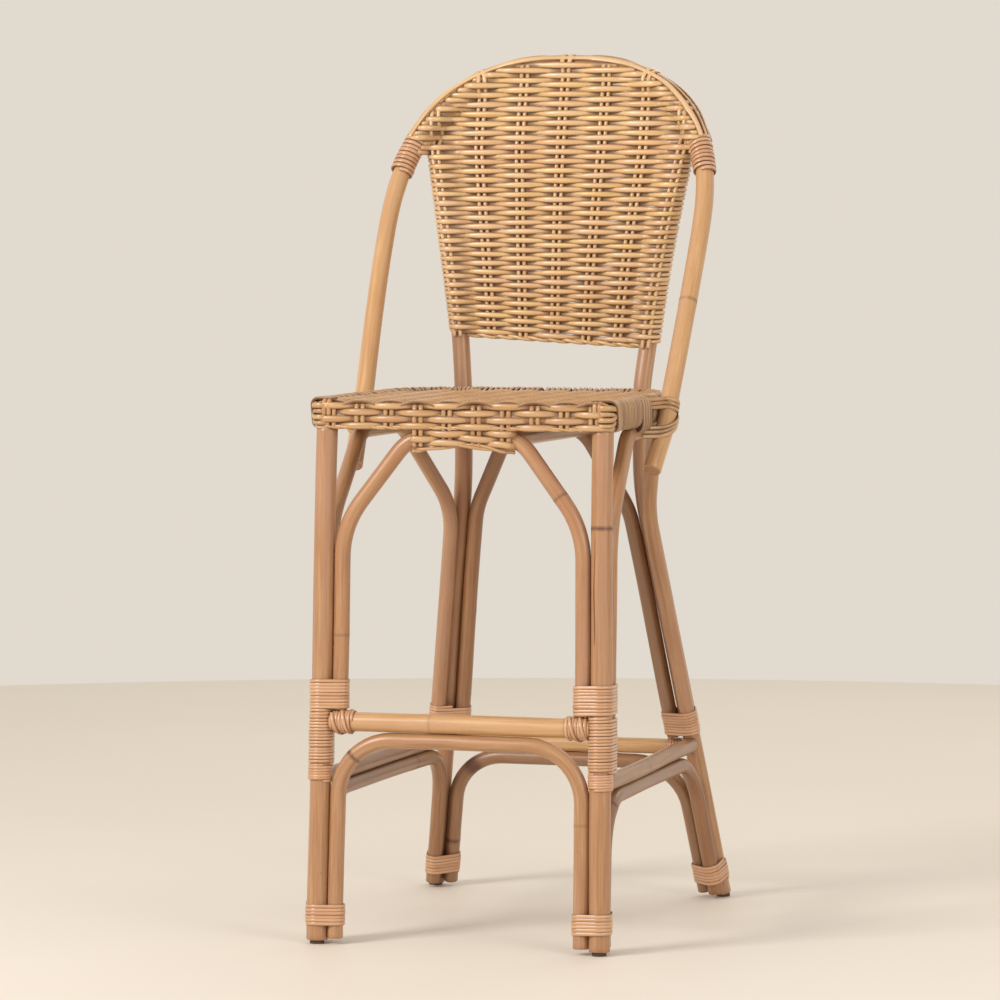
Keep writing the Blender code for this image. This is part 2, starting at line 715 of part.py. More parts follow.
def make_loop():
    below = [loop_at(SEAT_HEIGHT - LOOP_BELOW_SEAT), loop_at(SEAT_UNDERSIDE)]
    side = loop_route(0, LOOP_BINDING[0], 7)
    collar = loop_route(*LOOP_BINDING, 2)
    rim = rim_route(9)
    right = below + side[:-1] + collar
    whole = right + rim + list(reversed(mirrored(right)))
    pole("back_loop", whole, LOOP_RADIUS, POLE_PALE, sides=12)
    sleeve("rim_braid", rim, LOOP_RADIUS + GAP, RIM_WALL, WEAVE)
    for side_name, sign in SIDES:
        bound = sided(collar, sign)
        sleeve("loop_binding_" + side_name, bound, LOOP_RADIUS + GAP, CANE_WALL, CANE)


def make_back():
    """The woven panel between the uprights, fanning out to the arch."""
    columns = 10
    rows = 8
    side_clear = EDGE_WALL + REAR_LEG_RADIUS + 4 * GAP
    rim_clear = LOOP_RADIUS + RIM_WALL + BACK_RIM_ROOM
    side_top = SEAT_HEIGHT + UPRIGHT_TOP_HEIGHT
    side_heights = [between(BACK_LOW_Z, side_top, row / rows) for row in range(rows + 1)]
    side_reach = [upright_at(z).x - side_clear for z in side_heights]
    body = bmesh.new()
    grid = []
    for column in range(columns + 1):
        across = between(-1, 1, column / columns)
        top_x = side_reach[-1] * across
        ahead = crown_height(top_x + SLOPE_STEP)
        slope = (ahead - crown_height(top_x - SLOPE_STEP)) / (2 * SLOPE_STEP)
        top_z = crown_height(top_x) - rim_clear * math.hypot(1, slope)
        line = []
        for row, reach in enumerate(side_reach):
            z = between(BACK_LOW_Z, top_z, row / rows)
            line.append(body.verts.new((across * reach, back_y(z), z)))
        grid.append(line)
    for left, right in zip(grid, grid[1:]):
        for row in range(rows):
            body.faces.new((left[row], right[row], right[row + 1], left[row + 1]))
    mesh = bpy.data.meshes.new("back_weave")
    body.to_mesh(mesh)
    body.free()
    mesh.shade_smooth()
    made = place("back_weave", mesh, WEAVE, CANE_ROUGHNESS)
    thick = made.modifiers.new("thickness", "SOLIDIFY")
    thick.thickness = BACK_THICKNESS
    thick.offset = 0

    top_z = SEAT_HEIGHT + UPRIGHT_TOP_HEIGHT
    run = [upright_at(between(BACK_LOW_Z, top_z - EDGE_TOP_ROOM, i / 6)) for i in range(7)]
    for side, sign in SIDES:
        sleeve(
            "back_edge_" + side, sided(run, sign), REAR_LEG_RADIUS + GAP, EDGE_WALL, WEAVE
        )


def make_bindings():
    for side, sign in SIDES:
        main = (sided_line(front_leg, sign), FRONT_LEG_RADIUS)
        inner = (sided_line(FRONT_INNER, sign), ARCH_RADIUS)
        rearward = (sided_line(FRONT_REARWARD, sign), ARCH_RADIUS)
        lower = (sided_line(FRONT_LOWER_REARWARD, sign), ARCH_RADIUS)
        binding("front_foot_binding_" + side, [main, inner, lower], *FOOT_BINDING, CANE)
        low = upper_front_start() + GAP
        high = low + FRONT_BINDING_LENGTH
        binding("front_upper_binding_" + side, [main, inner, rearward], low, high, CANE)
        low = SIDE_BAR_HEIGHT + BAR_RADIUS + BINDING_ABOVE_BAR
        high = FOOTREST_HEIGHT - FOOTREST_RADIUS - CANE_WALL - 2 * GAP
        binding("front_lower_binding_" + side, [main, rearward], low, high, CANE)

        main = (sided_line(rear_leg, sign), REAR_LEG_RADIUS)
        inner = (sided_line(REAR_INNER, sign), ARCH_RADIUS)
        forward = (sided_line(REAR_FORWARD, sign), ARCH_RADIUS)
        lower = (sided_line(REAR_LOWER_FORWARD, sign), ARCH_RADIUS)
        binding("rear_foot_binding_" + side, [main, inner, lower], *FOOT_BINDING, CANE)
        low = SIDE_BAR_HEIGHT + BAR_RADIUS + CANE_WALL + BINDING_ABOVE_BAR
        high = low + REAR_BINDING_LENGTH
        binding("rear_binding_" + side, [main, inner, forward], low, high, CANE)


def make_seat_straps():
    """Cane passed round each side of the loop and through the seat's edge."""
    inner = (LOOP_RADIUS + GAP) / math.cos(math.pi / 20)
    outer = inner + CANE_WALL
    end = STRAP_END_ROOM - LOOP_RADIUS
    outline = [(end, -outer)] + arc((0, 0), (outer, outer), -90, 90, 10)
    outline += [(end, outer), (end, inner)]
    outline += arc((0, 0), (inner, inner), 90, -90, 10) + [(end, -inner)]
    middle = RAIL_Z
    for side, sign in SIDES:
        center = loop_at(middle)
        axis = loop_at(middle + SLOPE_STEP) - center
        points = outline if sign > 0 else [(-x, y) for x, y in reversed(outline)]
        center, axis = sided([center, axis], sign)
        made = flat_shape("loop_strap_" + side, [points], STRAP_LENGTH / 2, CANE)
        made.matrix_world = standing_frame(center, axis)


def main():
    make_legs()
    make_glides()
    make_upper_arches()
    make_lower_arches()
    make_bars()
    make_seat_frame()
    make_seat_cover()
    make_apron()
    make_loop()
    make_back()
    make_bindings()
    make_seat_straps()


for old in list(bpy.data.objects):
    bpy.data.objects.remove(old)
stool = bpy.data.collections.new("rattan_bar_stool")
cutters = bpy.data.collections.new("cutters")
for made_collection in (stool, cutters):
    bpy.context.scene.collection.children.link(made_collection)
main()
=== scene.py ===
"""Rattan bar stool with a footrest: its looks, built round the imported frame.

Poles, cane windings and woven panels are swept strands. Each strand keeps its
own lengthwise coordinates and tone, which the materials read. Metres, +Z up,
the front faces -Y.
"""

import math

import bpy
import numpy as np
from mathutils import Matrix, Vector


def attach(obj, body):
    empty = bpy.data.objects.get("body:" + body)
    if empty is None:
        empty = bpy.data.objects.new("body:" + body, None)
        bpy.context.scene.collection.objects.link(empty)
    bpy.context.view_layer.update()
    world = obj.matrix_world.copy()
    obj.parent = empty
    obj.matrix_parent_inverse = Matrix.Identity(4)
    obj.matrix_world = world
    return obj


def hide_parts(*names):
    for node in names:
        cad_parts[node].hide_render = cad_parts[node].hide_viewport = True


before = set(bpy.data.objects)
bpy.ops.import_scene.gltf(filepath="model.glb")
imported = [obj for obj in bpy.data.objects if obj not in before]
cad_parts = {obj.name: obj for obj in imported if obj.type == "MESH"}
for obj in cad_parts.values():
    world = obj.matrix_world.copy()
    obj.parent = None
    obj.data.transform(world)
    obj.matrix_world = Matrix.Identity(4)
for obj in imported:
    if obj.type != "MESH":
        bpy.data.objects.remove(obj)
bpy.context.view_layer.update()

# Sizes of the frame, as the model has them.
GAP = 0.0003
SEAT_HEIGHT = 0.756
SEAT_EDGE_DEPTH = 0.039
SEAT_FRONT_WIDTH = 0.436
SEAT_DEPTH = 0.445
SEAT_TAPER = 0.0055
SEAT_CORNER_RADIUS = 0.016
SEAT_REAR_STRAIGHT = 0.190
SEAT_REAR_ROUND = 0.150
SEAT_SKIRT = 0.006
SEAT_FRONT = -0.2902
FRONT_LEG_RADIUS = 0.015
REAR_LEG_RADIUS = 0.013
ARCH_RADIUS = 0.011
LOOP_RADIUS = 0.013
FOOTREST_RADIUS = 0.0135
BAR_RADIUS = 0.0115
RAIL_RADIUS = 0.013
BEARER_RADIUS = 0.013
FRONT_SPLAY_X = 0.005
FRONT_SPLAY_Y = 0.035
REAR_SPLAY_X = 0.088
REAR_SPLAY_Y = 0.143
UPRIGHT_SPACING = 0.271
KNEE_BELOW_SEAT = 0.140
KNEE_BEND_RADIUS = 0.30
ARCH_FOOT_CLEARANCE = 0.009
GLIDE_HEIGHT = 0.006
FOOTREST_HEIGHT = 0.309
SIDE_BAR_HEIGHT = 0.231
REAR_BAR_HEIGHT = 0.226
LOWER_BEND_RADIUS = 0.078
ARCH_SHOULDER_DROP = 0.137
ARCH_SHOULDER_RADIUS = 0.130
ARCH_CROWN_RADIUS = 0.055
FRONT_CROWN_HALF = 0.078
REAR_CROWN_HALF = 0.053
SIDE_CROWN_FRONT = 0.139
SIDE_CROWN_REAR = 0.112
BEARER_SPACING = 0.124
LOOP_BELOW_SEAT = 0.102
LOOP_TAIL_INWARD = 0.007
LOOP_TAIL_FORWARD = 0.012
LOOP_BEHIND_SEAT_FRONT = 0.271
LOOP_LEAN = 0.585
LOOP_WIDEST_HEIGHT = 0.235
LOOP_WIDEST_HALF = 0.2365
LOOP_TOP_HEIGHT = 0.471
LOOP_SQUARENESS = 2.45
LOOP_SEAT_CLEARANCE = 0.0005
LOOP_FAN_POWER = 1.5
BACK_BOTTOM_HEIGHT = 0.073
BACK_LEAN_LOW = 0.024
BACK_LEAN_HIGH = 0.041
UPRIGHT_TOP_HEIGHT = 0.351
UPRIGHT_TOP_SPACING = 0.375
UPRIGHT_FAN_POWER = 1.25
BACK_BEHIND_UPRIGHT = 0.0125
RIM_START_HEIGHT = 0.3625
CANE_WALL = 0.003
FOOT_BINDING = (0.025, 0.059)
FRONT_BINDING_LENGTH = 0.044
BINDING_ABOVE_BAR = 0.005
REAR_BINDING_LENGTH = 0.038
END_BINDING_LENGTH = 0.026
LOOP_BINDING = (0.318, 0.360)
APRON_HALF_WIDTH = 0.076
APRON_DEPTH = 0.036
APRON_ARCH = 0.010

SEAT_REAR = SEAT_FRONT + SEAT_DEPTH
SEAT_UNDERSIDE = SEAT_HEIGHT - SEAT_EDGE_DEPTH
RAIL_INSET = SEAT_SKIRT + 2 * GAP + RAIL_RADIUS
RAIL_Z = SEAT_UNDERSIDE + RAIL_RADIUS
CROWN_Z = SEAT_UNDERSIDE - GAP - ARCH_RADIUS
SHOULDER_Z = SEAT_UNDERSIDE - ARCH_SHOULDER_DROP
LEG_TOP_Z = SEAT_UNDERSIDE - GAP
FRONT_LEG_TOP = (SEAT_FRONT_WIDTH / 2 - RAIL_INSET, SEAT_FRONT + RAIL_INSET)
UPRIGHT_X = UPRIGHT_SPACING / 2
UPRIGHT_Y = SEAT_REAR + GAP + REAR_LEG_RADIUS
KNEE_Z = SEAT_HEIGHT - KNEE_BELOW_SEAT
FOOT_Z = GLIDE_HEIGHT + GAP
LOWER_FRONT_Z = FOOTREST_HEIGHT - FOOTREST_RADIUS - GAP - ARCH_RADIUS
LOWER_SIDE_Z = SIDE_BAR_HEIGHT - BAR_RADIUS - GAP - ARCH_RADIUS
LOWER_REAR_Z = REAR_BAR_HEIGHT - BAR_RADIUS - GAP - ARCH_RADIUS
BACK_LOW_Z = SEAT_HEIGHT + BACK_BOTTOM_HEIGHT
BACK_LOW_Y = UPRIGHT_Y + BACK_BEHIND_UPRIGHT
BACK_HIGH_Z = SEAT_HEIGHT + LOOP_TOP_HEIGHT
SIDE_TOP_Z = SEAT_HEIGHT + UPRIGHT_TOP_HEIGHT
SIDES = (("R", 1), ("L", -1))

chance = np.random.default_rng(41)


# ---------------------------------------------------------------- lines of the frame


def vec(*values):
    return np.array(values, float)


def unit(v):
    return v / np.linalg.norm(v)


def between(start, end, share):
    return start + (end - start) * share


def soft_step(t):
    t = np.clip(t, 0, 1)
    return t * t * (3 - 2 * t)


def distances(path):
    """How far along the path each of its points is."""
    return np.r_[0, np.cumsum(np.linalg.norm(np.diff(path, axis=0), axis=1))]


def directions(path):
    """The path's direction at each of its points."""
    tangent = np.gradient(path, axis=0)
    return tangent / np.linalg.norm(tangent, axis=1)[:, None]


UP = vec(0, 0, 1)


def seat_half_width(y):
    round_start = SEAT_REAR - SEAT_REAR_ROUND
    along = min(max((y - SEAT_FRONT) / (round_start - SEAT_FRONT), 0), 1)
    side = SEAT_FRONT_WIDTH / 2 - SEAT_TAPER * along
    if y <= round_start:
        return side
    flat = SEAT_REAR_STRAIGHT / 2
    reach = min((y - round_start) / SEAT_REAR_ROUND, 1)
    return flat + (side - flat) * math.sqrt(1 - reach * reach)


def seat_edge(inset, steps=24):
    """The seat's plan from the front right corner round the rear to the left one."""
    round_start = SEAT_REAR - SEAT_REAR_ROUND
    flat = SEAT_REAR_STRAIGHT / 2
    side = seat_half_width(round_start)
    front_y = SEAT_FRONT + SEAT_CORNER_RADIUS
    right = [(SEAT_FRONT_WIDTH / 2 - inset, front_y)]
    for i in range(steps + 1):
        a = math.pi / 2 * i / steps
        x = flat + (side - flat - inset) * math.cos(a)
        y = round_start + (SEAT_REAR_ROUND - inset) * math.sin(a)
        right.append((x, y))
    return np.array(right + [(-x, y) for x, y in reversed(right)])


def front_leg(z):
    down = (LEG_TOP_Z - z) / LEG_TOP_Z
    return vec(
        FRONT_LEG_TOP[0] + FRONT_SPLAY_X * down, FRONT_LEG_TOP[1] - FRONT_SPLAY_Y * down, z
    )


def rear_leg(z):
    down = (KNEE_Z - z) / KNEE_Z
    return vec(UPRIGHT_X + REAR_SPLAY_X * down, UPRIGHT_Y + REAR_SPLAY_Y * down, z)


def beside(leg, side, distance):
    axis = unit(leg(0.5) - leg(0.1))
    way = unit(vec(side[0], side[1], 0))
    step = way * distance / math.sqrt(1 - way.dot(axis) ** 2)
    return lambda z: leg(z) + step


def cap_rise(leg, radius):
    axis = leg(0.5) - leg(0.1)
    return radius * math.hypot(axis[0], axis[1]) / axis[2] + GAP


def side_room(leg, leg_radius, bar_radius, way):
    axis = unit(leg(0.5) - leg(0.1))
    along = abs(axis.dot(unit(np.array(way, float))))
    return (leg_radius + bar_radius * along) / math.sqrt(1 - along * along) + GAP


FRONT_PITCH = FRONT_LEG_RADIUS + GAP + ARCH_RADIUS
REAR_PITCH = REAR_LEG_RADIUS + GAP + ARCH_RADIUS
FRONT_INNER = beside(front_leg, (-1, 0), FRONT_PITCH)
FRONT_REARWARD = beside(front_leg, (0.1, 1), FRONT_PITCH)
FRONT_LOWER_REARWARD = beside(front_leg, (-0.08, 1), FRONT_PITCH)
REAR_INNER = beside(rear_leg, (-1, -0.2), REAR_PITCH)
REAR_FORWARD = beside(rear_leg, (0.33, -1), REAR_PITCH)
REAR_LOWER_FORWARD = beside(rear_leg, (-0.12, -1), REAR_PITCH)


def bent(corners, radii, steps=10):
    """A path through the corners, each inner one rounded to its bend radius."""
    points = [np.array(corners[0], float)]
    for i, radius in enumerate(radii, start=1):
        before, corner, after = (np.array(c, float) for c in corners[i - 1 : i + 2])
        back = unit(before - corner)
        ahead = unit(after - corner)
        half_turn = (math.pi - math.acos(float(np.clip(back.dot(ahead), -1, 1)))) / 2
        reach = radius * math.tan(half_turn)
        middle = corner + unit(back + ahead) * radius / math.cos(half_turn)
        first = unit(corner + back * reach - middle)
        last = unit(corner + ahead * reach - middle)
        turn = math.acos(float(np.clip(first.dot(last), -1, 1)))
        for step in range(steps + 1):
            t = step / steps
            mix = math.sin((1 - t) * turn) * first + math.sin(t * turn) * last
            points.append(middle + mix / math.sin(turn) * radius)
    return np.array(points + [np.array(corners[-1], float)])


def flip(points):
    return np.array(points, float) * vec(-1, 1, 1)


def sided(points, sign):
    return np.array(points, float) if sign > 0 else flip(points)


def sided_line(line, sign):
    return line if sign > 0 else (lambda z: flip(line(z)))


def both_sides(right):
    return np.concatenate([right[:-1], flip(right[:-1])[::-1]])


def loop_at(z):
    at_seat = seat_half_width(SEAT_FRONT + LOOP_BEHIND_SEAT_FRONT)
    at_seat += LOOP_SEAT_CLEARANCE + GAP + LOOP_RADIUS
    y = SEAT_FRONT + LOOP_BEHIND_SEAT_FRONT + LOOP_LEAN * (z - SEAT_HEIGHT)
    above = z - SEAT_HEIGHT
    if above <= LOOP_WIDEST_HEIGHT:
        drop = max(min((LOOP_WIDEST_HEIGHT - above) / LOOP_WIDEST_HEIGHT, 1), 0)
        x = between(LOOP_WIDEST_HALF, at_seat, drop**LOOP_FAN_POWER)
        tail = -(above + SEAT_EDGE_DEPTH) / (LOOP_BELOW_SEAT - SEAT_EDGE_DEPTH)
        tail = max(tail, 0)
        return vec(x - LOOP_TAIL_INWARD * tail, y - LOOP_TAIL_FORWARD * tail, z)
    rise = (above - LOOP_WIDEST_HEIGHT) / (LOOP_TOP_HEIGHT - LOOP_WIDEST_HEIGHT)
    share = max(1 - min(rise, 1) ** LOOP_SQUARENESS, 0) ** (1 / LOOP_SQUARENESS)
    return vec(LOOP_WIDEST_HALF * share, y, z)


def rim_path(low, steps=60):
    """The loop over its crown, from one side at height low above the seat to the other."""
    span = LOOP_TOP_HEIGHT - LOOP_WIDEST_HEIGHT
    start = math.asin(((low - LOOP_WIDEST_HEIGHT) / span) ** (LOOP_SQUARENESS / 2))
    right = []
    for i in range(steps + 1):
        turn = between(start, math.pi / 2, i / steps)
        rise = span * math.sin(turn) ** (2 / LOOP_SQUARENESS)
        right.append(loop_at(SEAT_HEIGHT + LOOP_WIDEST_HEIGHT + rise))
    return np.concatenate([right, flip(right[:-1])[::-1]])


def back_y(z):
    rise = (z - BACK_LOW_Z) / (BACK_HIGH_Z - BACK_LOW_Z)
    return BACK_LOW_Y + BACK_LEAN_LOW * rise + BACK_LEAN_HIGH * max(rise, 0) ** 3


def upright_at(z):
    share = (z - SEAT_HEIGHT) / (SIDE_TOP_Z - SEAT_HEIGHT)
    x = between(UPRIGHT_X, UPRIGHT_TOP_SPACING / 2, min(max(share, 0), 1) ** UPRIGHT_FAN_POWER)
    return vec(x, back_y(z), z)


def even(points, spacing):
    """The path with its points moved to equal steps of about the given spacing."""
    points = np.array(points, float)
    lengths = distances(points)
    count = max(int(round(lengths[-1] / spacing)), 2)
    at = np.linspace(0, lengths[-1], count + 1)
    return np.stack([np.interp(at, lengths, points[:, i]) for i in range(3)], axis=1)


def smooth_path(points, rounds):
    """Softens the path's corners, its ends kept."""
    points = points.copy()
    for _ in range(rounds):
        points[1:-1] = points[1:-1] / 2 + (points[:-2] + points[2:]) / 4
    return points


# ---------------------------------------------------------------- strands


JOINT_LINE = 0.0016
# Painted shade on a strand's face turned into the weave.
LEE_START = 0.40
LEE_DARKNESS = 1.3
BURN_DARKNESS = 0.8
SHARP_ANGLE = math.radians(55)
# A strand's end: the length of its rounding, the width left, and where its tip is.
SAWN_END = (0.10, 0.90, 1.0)
ROUND_END = (0.45, 0.62, 1.3)


class Strands:
    """Swept strands gathered into one mesh.

    The attribute cane holds a point's place in its strand, as if the strand lay
    straight along z. The attribute mark holds tone, darkness (mostly painted shade, plus burn marks)
    and joint.
    """

    def __init__(self):
        self.points = []
        self.faces = []
        self.cane = []
        self.mark = []
        self.cut_faces = []
        self.total = 0

    def add(self, path, wide, tall, up=None, sides=12, tone=None, shade=0.0, flank=0.0,
            lee=None, joints=(), burns=(), cut=False):
        """Sweeps an oval along the path: tall towards up, wide across it.

        shade darkens the strand; flank and lee are painted shade, flank on its two edges
        and lee on its outer face where lee is below zero. joints and burns lie at distances along
        the path.
        """
        path = np.asarray(path, float)
        n = len(path)
        tangent = directions(path)
        other = self.frames(tangent, up)
        first = np.cross(other, tangent)
        along = distances(path)
        angle = 2 * np.pi * np.arange(sides) / sides
        wide = np.broadcast_to(wide, n)[:, None]
        tall = np.broadcast_to(tall, n)[:, None]
        c = np.cos(angle)[None] * wide
        s = np.sin(angle)[None] * tall
        ring = path[:, None] + c[..., None] * first[:, None] + s[..., None] * other[:, None]
        along_grain = (along + chance.uniform(0, 30))[:, None]
        cane = np.stack([c, s, np.broadcast_to(along_grain, c.shape)], axis=-1)
        tone = chance.uniform(0, 1) if tone is None else tone
        shade = np.broadcast_to(np.asarray(shade, float), n)[:, None]
        flank = np.broadcast_to(np.asarray(flank, float), n)[:, None]
        # Painted shade: the given shade, and more on the two edges where a strand meets its
        # neighbours.
        dark = shade + flank * np.abs(np.sin(angle))[None] ** 4
        for place, reach in burns:
            dark = dark + BURN_DARKNESS * np.exp(-(((along - place) / reach) ** 4))[:, None]
        # Painted shade on the faces turned into the weave, where a strand passes behind its stakes.
        if lee is not None:
            deep = -np.asarray(lee)[:, None] * np.cos(angle)[None]
            dark = dark + LEE_DARKNESS * np.clip(deep - LEE_START, 0, 1)
        dark = np.clip(dark, 0, 1)
        ringed = np.zeros(n)
        for joint in joints:
            ringed = np.maximum(ringed, np.exp(-(((along - joint) / JOINT_LINE) ** 2)))
        mark = np.stack(
            [np.full_like(c, tone), dark, np.broadcast_to(ringed[:, None], c.shape)], axis=-1
        )
        start = self.total
        self.push(ring.reshape(-1, 3), cane.reshape(-1, 3), mark.reshape(-1, 3))
        row = np.arange(n - 1)[:, None] * sides
        here = row + np.arange(sides)[None]
        there = row + (np.arange(sides)[None] + 1) % sides
        quads = np.stack([here, there, there + sides, here + sides], axis=-1)
        self.faces.append((quads.reshape(-1, 4) + start).tolist())
        self.close(ring[0], cane[0], mark[0], -tangent[0], start, sides, True, cut)
        last = start + (n - 1) * sides
        self.close(ring[-1], cane[-1], mark[-1], tangent[-1], last, sides, False, cut)

    def push(self, points, cane, mark):
        self.points.append(points)
        self.cane.append(cane)
        self.mark.append(mark)
        self.total += len(points)

    def close(self, ring, cane, mark, outward, start, sides, first, cut):
        """Caps one end: a small rounding and a flat face."""
        length, width, tip_place = SAWN_END if cut else ROUND_END
        center = ring.mean(axis=0)
        size = np.linalg.norm(ring[0] - center)
        lift = outward * size * length
        inner = center + (ring - center) * width + lift
        begin = self.total
        self.push(inner, cane * vec(0.9, 0.9, 1), mark)
        tip = center + lift * tip_place
        self.push(tip[None], cane.mean(axis=0)[None], mark.mean(axis=0)[None])
        quads = []
        fan = []
        for i in range(sides):
            j = (i + 1) % sides
            a, b, p, q = start + i, start + j, begin + i, begin + j
            quads.append([b, a, p, q] if first else [a, b, q, p])
            fan.append([q, p, begin + sides] if first else [p, q, begin + sides])
        self.faces.append(quads)
        (self.cut_faces if cut else self.faces).append(fan)

    @staticmethod
    def frames(tangent, up):
        """A direction across each point of the path, carried along or held near up."""
        if up is not None:
            up = np.broadcast_to(np.asarray(up, float), tangent.shape)
            other = up - tangent * (up * tangent).sum(axis=1)[:, None]
            return other / np.linalg.norm(other, axis=1)[:, None]
        start = vec(0, 0, 1) if abs(tangent[0][2]) < 0.9 else vec(1, 0, 0)
        current = unit(start - tangent[0] * start.dot(tangent[0]))
        carried = []
        for t in tangent:
            current = unit(current - t * current.dot(t))
            carried.append(current)
        return np.array(carried)

    def object(self, name, materials, slot_name, replaced=()):
        mesh = bpy.data.meshes.new(name)
        body = [f for group in self.faces for f in group]
        ends = [f for group in self.cut_faces for f in group]
        mesh.from_pydata(np.concatenate(self.points).tolist(), [], body + ends)
        for made in materials:
            mesh.materials.append(made)
        if ends:
            index = np.zeros(len(body) + len(ends), np.int32)
            index[len(body):] = 1
            mesh.polygons.foreach_set("material_index", index)
        for attribute, values in (("cane", self.cane), ("mark", self.mark)):
            layer = mesh.attributes.new(attribute, "FLOAT_VECTOR", "POINT")
            layer.data.foreach_set("vector", np.concatenate(values).astype(np.float32).ravel())
        mesh.shade_smooth()
        mesh.set_sharp_from_angle(angle=SHARP_ANGLE)
        made = bpy.data.objects.new(name, mesh)
        bpy.context.scene.collection.objects.link(made)
        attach(made, "root")
        if replaced:
            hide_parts(*replaced)


# ---------------------------------------------------------------- materials


class Shader:
    """A node tree being built."""

    def __init__(self, name):
        self.material = bpy.data.materials.new(name)
        self.material.use_nodes = True
        self.tree = self.material.node_tree
        self.principled = self.tree.nodes["Principled BSDF"]

    def node(self, kind, **settings):
        made = self.tree.nodes.new(kind)
        for key, value in settings.items():
            setattr(made, key, value)
        return made

    def link(self, source, target):
        self.tree.links.new(source, target)

    def attribute(self, name):
        return self.node("ShaderNodeAttribute", attribute_name=name).outputs["Vector"]

    def stretched(self, vector, scale):
        made = self.node("ShaderNodeVectorMath", operation="MULTIPLY")
        self.link(vector, made.inputs[0])
        made.inputs[1].default_value = scale
        return made.outputs[0]

    def noise(self, vector, scale, detail=3.0, rough=0.55):
        made = self.node("ShaderNodeTexNoise")
        self.link(vector, made.inputs["Vector"])
        made.inputs["Scale"].default_value = scale
        made.inputs["Detail"].default_value = detail
        made.inputs["Roughness"].default_value = rough
        return made.outputs["Fac"]

    def span(self, value, low, high, to_low=0.0, to_high=1.0):
        made = self.node("ShaderNodeMapRange", clamp=True)
        self.link(value, made.inputs["Value"])
        for key, number in zip(("From Min", "From Max", "To Min", "To Max"),
                               (low, high, to_low, to_high)):
            made.inputs[key].default_value = number
        return made.outputs["Result"]

    def ramp(self, value, stops):
        made = self.node("ShaderNodeValToRGB")
        self.link(value, made.inputs["Fac"])
        marks = made.color_ramp.elements
        while len(marks) < len(stops):
            marks.new(0.5)
        for mark, (place, color) in zip(marks, stops):
            mark.position = place
            mark.color = (*color, 1)
        return made.outputs["Color"]

    def mix(self, factor, first, second):
        made = self.node("ShaderNodeMix", data_type="RGBA", clamp_factor=True)
        for key, value in ((0, factor), (6, first), (7, second)):
            if isinstance(value, (int, float)):
                made.inputs[key].default_value = value
            elif isinstance(value, tuple):
                made.inputs[key].default_value = (*value, 1)
            else:
                self.link(value, made.inputs[key])
        return made.outputs[2]

    def math(self, operation, first, second):
        made = self.node("ShaderNodeMath", operation=operation)
        for socket, value in zip(made.inputs, (first, second)):
            if isinstance(value, (int, float)):
                socket.default_value = value
            else:
                self.link(value, socket)
        return made.outputs[0]

    def parts(self, vector):
        made = self.node("ShaderNodeSeparateXYZ")
        self.link(vector, made.inputs[0])
        return made.outputs

    def finish(self, color, roughness, height=None, distance=0.0004, strength=0.5, **uniform):
        self.link(color, self.principled.inputs["Base Color"])
        self.link(roughness, self.principled.inputs["Roughness"])
        if height is not None:
            bump = self.node("ShaderNodeBump")
            bump.inputs["Strength"].default_value = strength
            bump.inputs["Distance"].default_value = distance
            self.link(height, bump.inputs["Height"])
            self.link(bump.outputs["Normal"], self.principled.inputs["Normal"])
        for key, value in uniform.items():
            self.principled.inputs[key.replace("_", " ")].default_value = value
        return self.material


def srgb(*values):
    """Linear colour from 0-255 display values."""
    return tuple(((v / 255 + 0.055) / 1.055) ** 2.4 for v in values)


def rattan(name, *colors, fibre=1.0, rough=(0.32, 0.52), coat=0.30):
    """Varnished rattan: long fibres, a tone of each strand, blotches and joints, and painted shade
    where the mark attribute carries it.
    """
    light, middle, dark, speck_and_shade, blotch, band = (srgb(*color) for color in colors)
    s = Shader(name)
    cane = s.attribute("cane")
    tone, shade, joint = s.parts(s.attribute("mark"))
    fine = s.noise(s.stretched(cane, (1, 1, 0.012)), 1500 * fibre, 3, 0.6)
    broad = s.noise(s.stretched(cane, (1, 1, 0.05)), 210, 2, 0.5)
    patches = s.noise(s.stretched(cane, (0.6, 0.6, 0.22)), 55, 3, 0.6)
    streak = s.math("ADD", s.math("MULTIPLY", fine, 0.45), s.math("MULTIPLY", broad, 0.55))
    base = s.ramp(streak, [(0.30, dark), (0.48, middle), (0.68, light)])
    toned = s.mix(s.span(tone, 0, 1, 0, 0.55), base, blotch)
    bands = s.noise(s.stretched(cane, (1, 1, 0.02)), 95, 1, 0.4)
    banded = s.mix(s.span(bands, 0.46, 0.62, 0, 0.65), toned, band)
    warm = s.mix(s.span(patches, 0.50, 0.72, 0, 0.45), banded, blotch)
    specks = s.span(s.noise(s.stretched(cane, (1, 1, 0.35)), 420, 2, 0.7), 0.70, 0.78, 0, 0.45)
    speckled = s.mix(specks, warm, speck_and_shade)
    ring = s.math("MULTIPLY", s.span(joint, 0.2, 0.9, 0, 0.85), s.span(patches, 0.30, 0.5))
    ringed = s.mix(ring, speckled, speck_and_shade)
    # Painted shade: the mark's shade mixes in the dark colour.
    final = s.mix(shade, ringed, speck_and_shade)
    roughness = s.span(s.math("ADD", s.math("MULTIPLY", fine, 0.6), s.math("MULTIPLY", shade, 0.5)),
                       0.2, 0.8, *rough)
    height = s.math("SUBTRACT", s.math("ADD", fine, s.math("MULTIPLY", broad, 0.8)),
                    s.math("MULTIPLY", joint, 0.8))
    return s.finish(final, roughness, height, 0.0003, 0.35,
                    Coat_Weight=coat, Coat_Roughness=0.28, Coat_IOR=1.45)


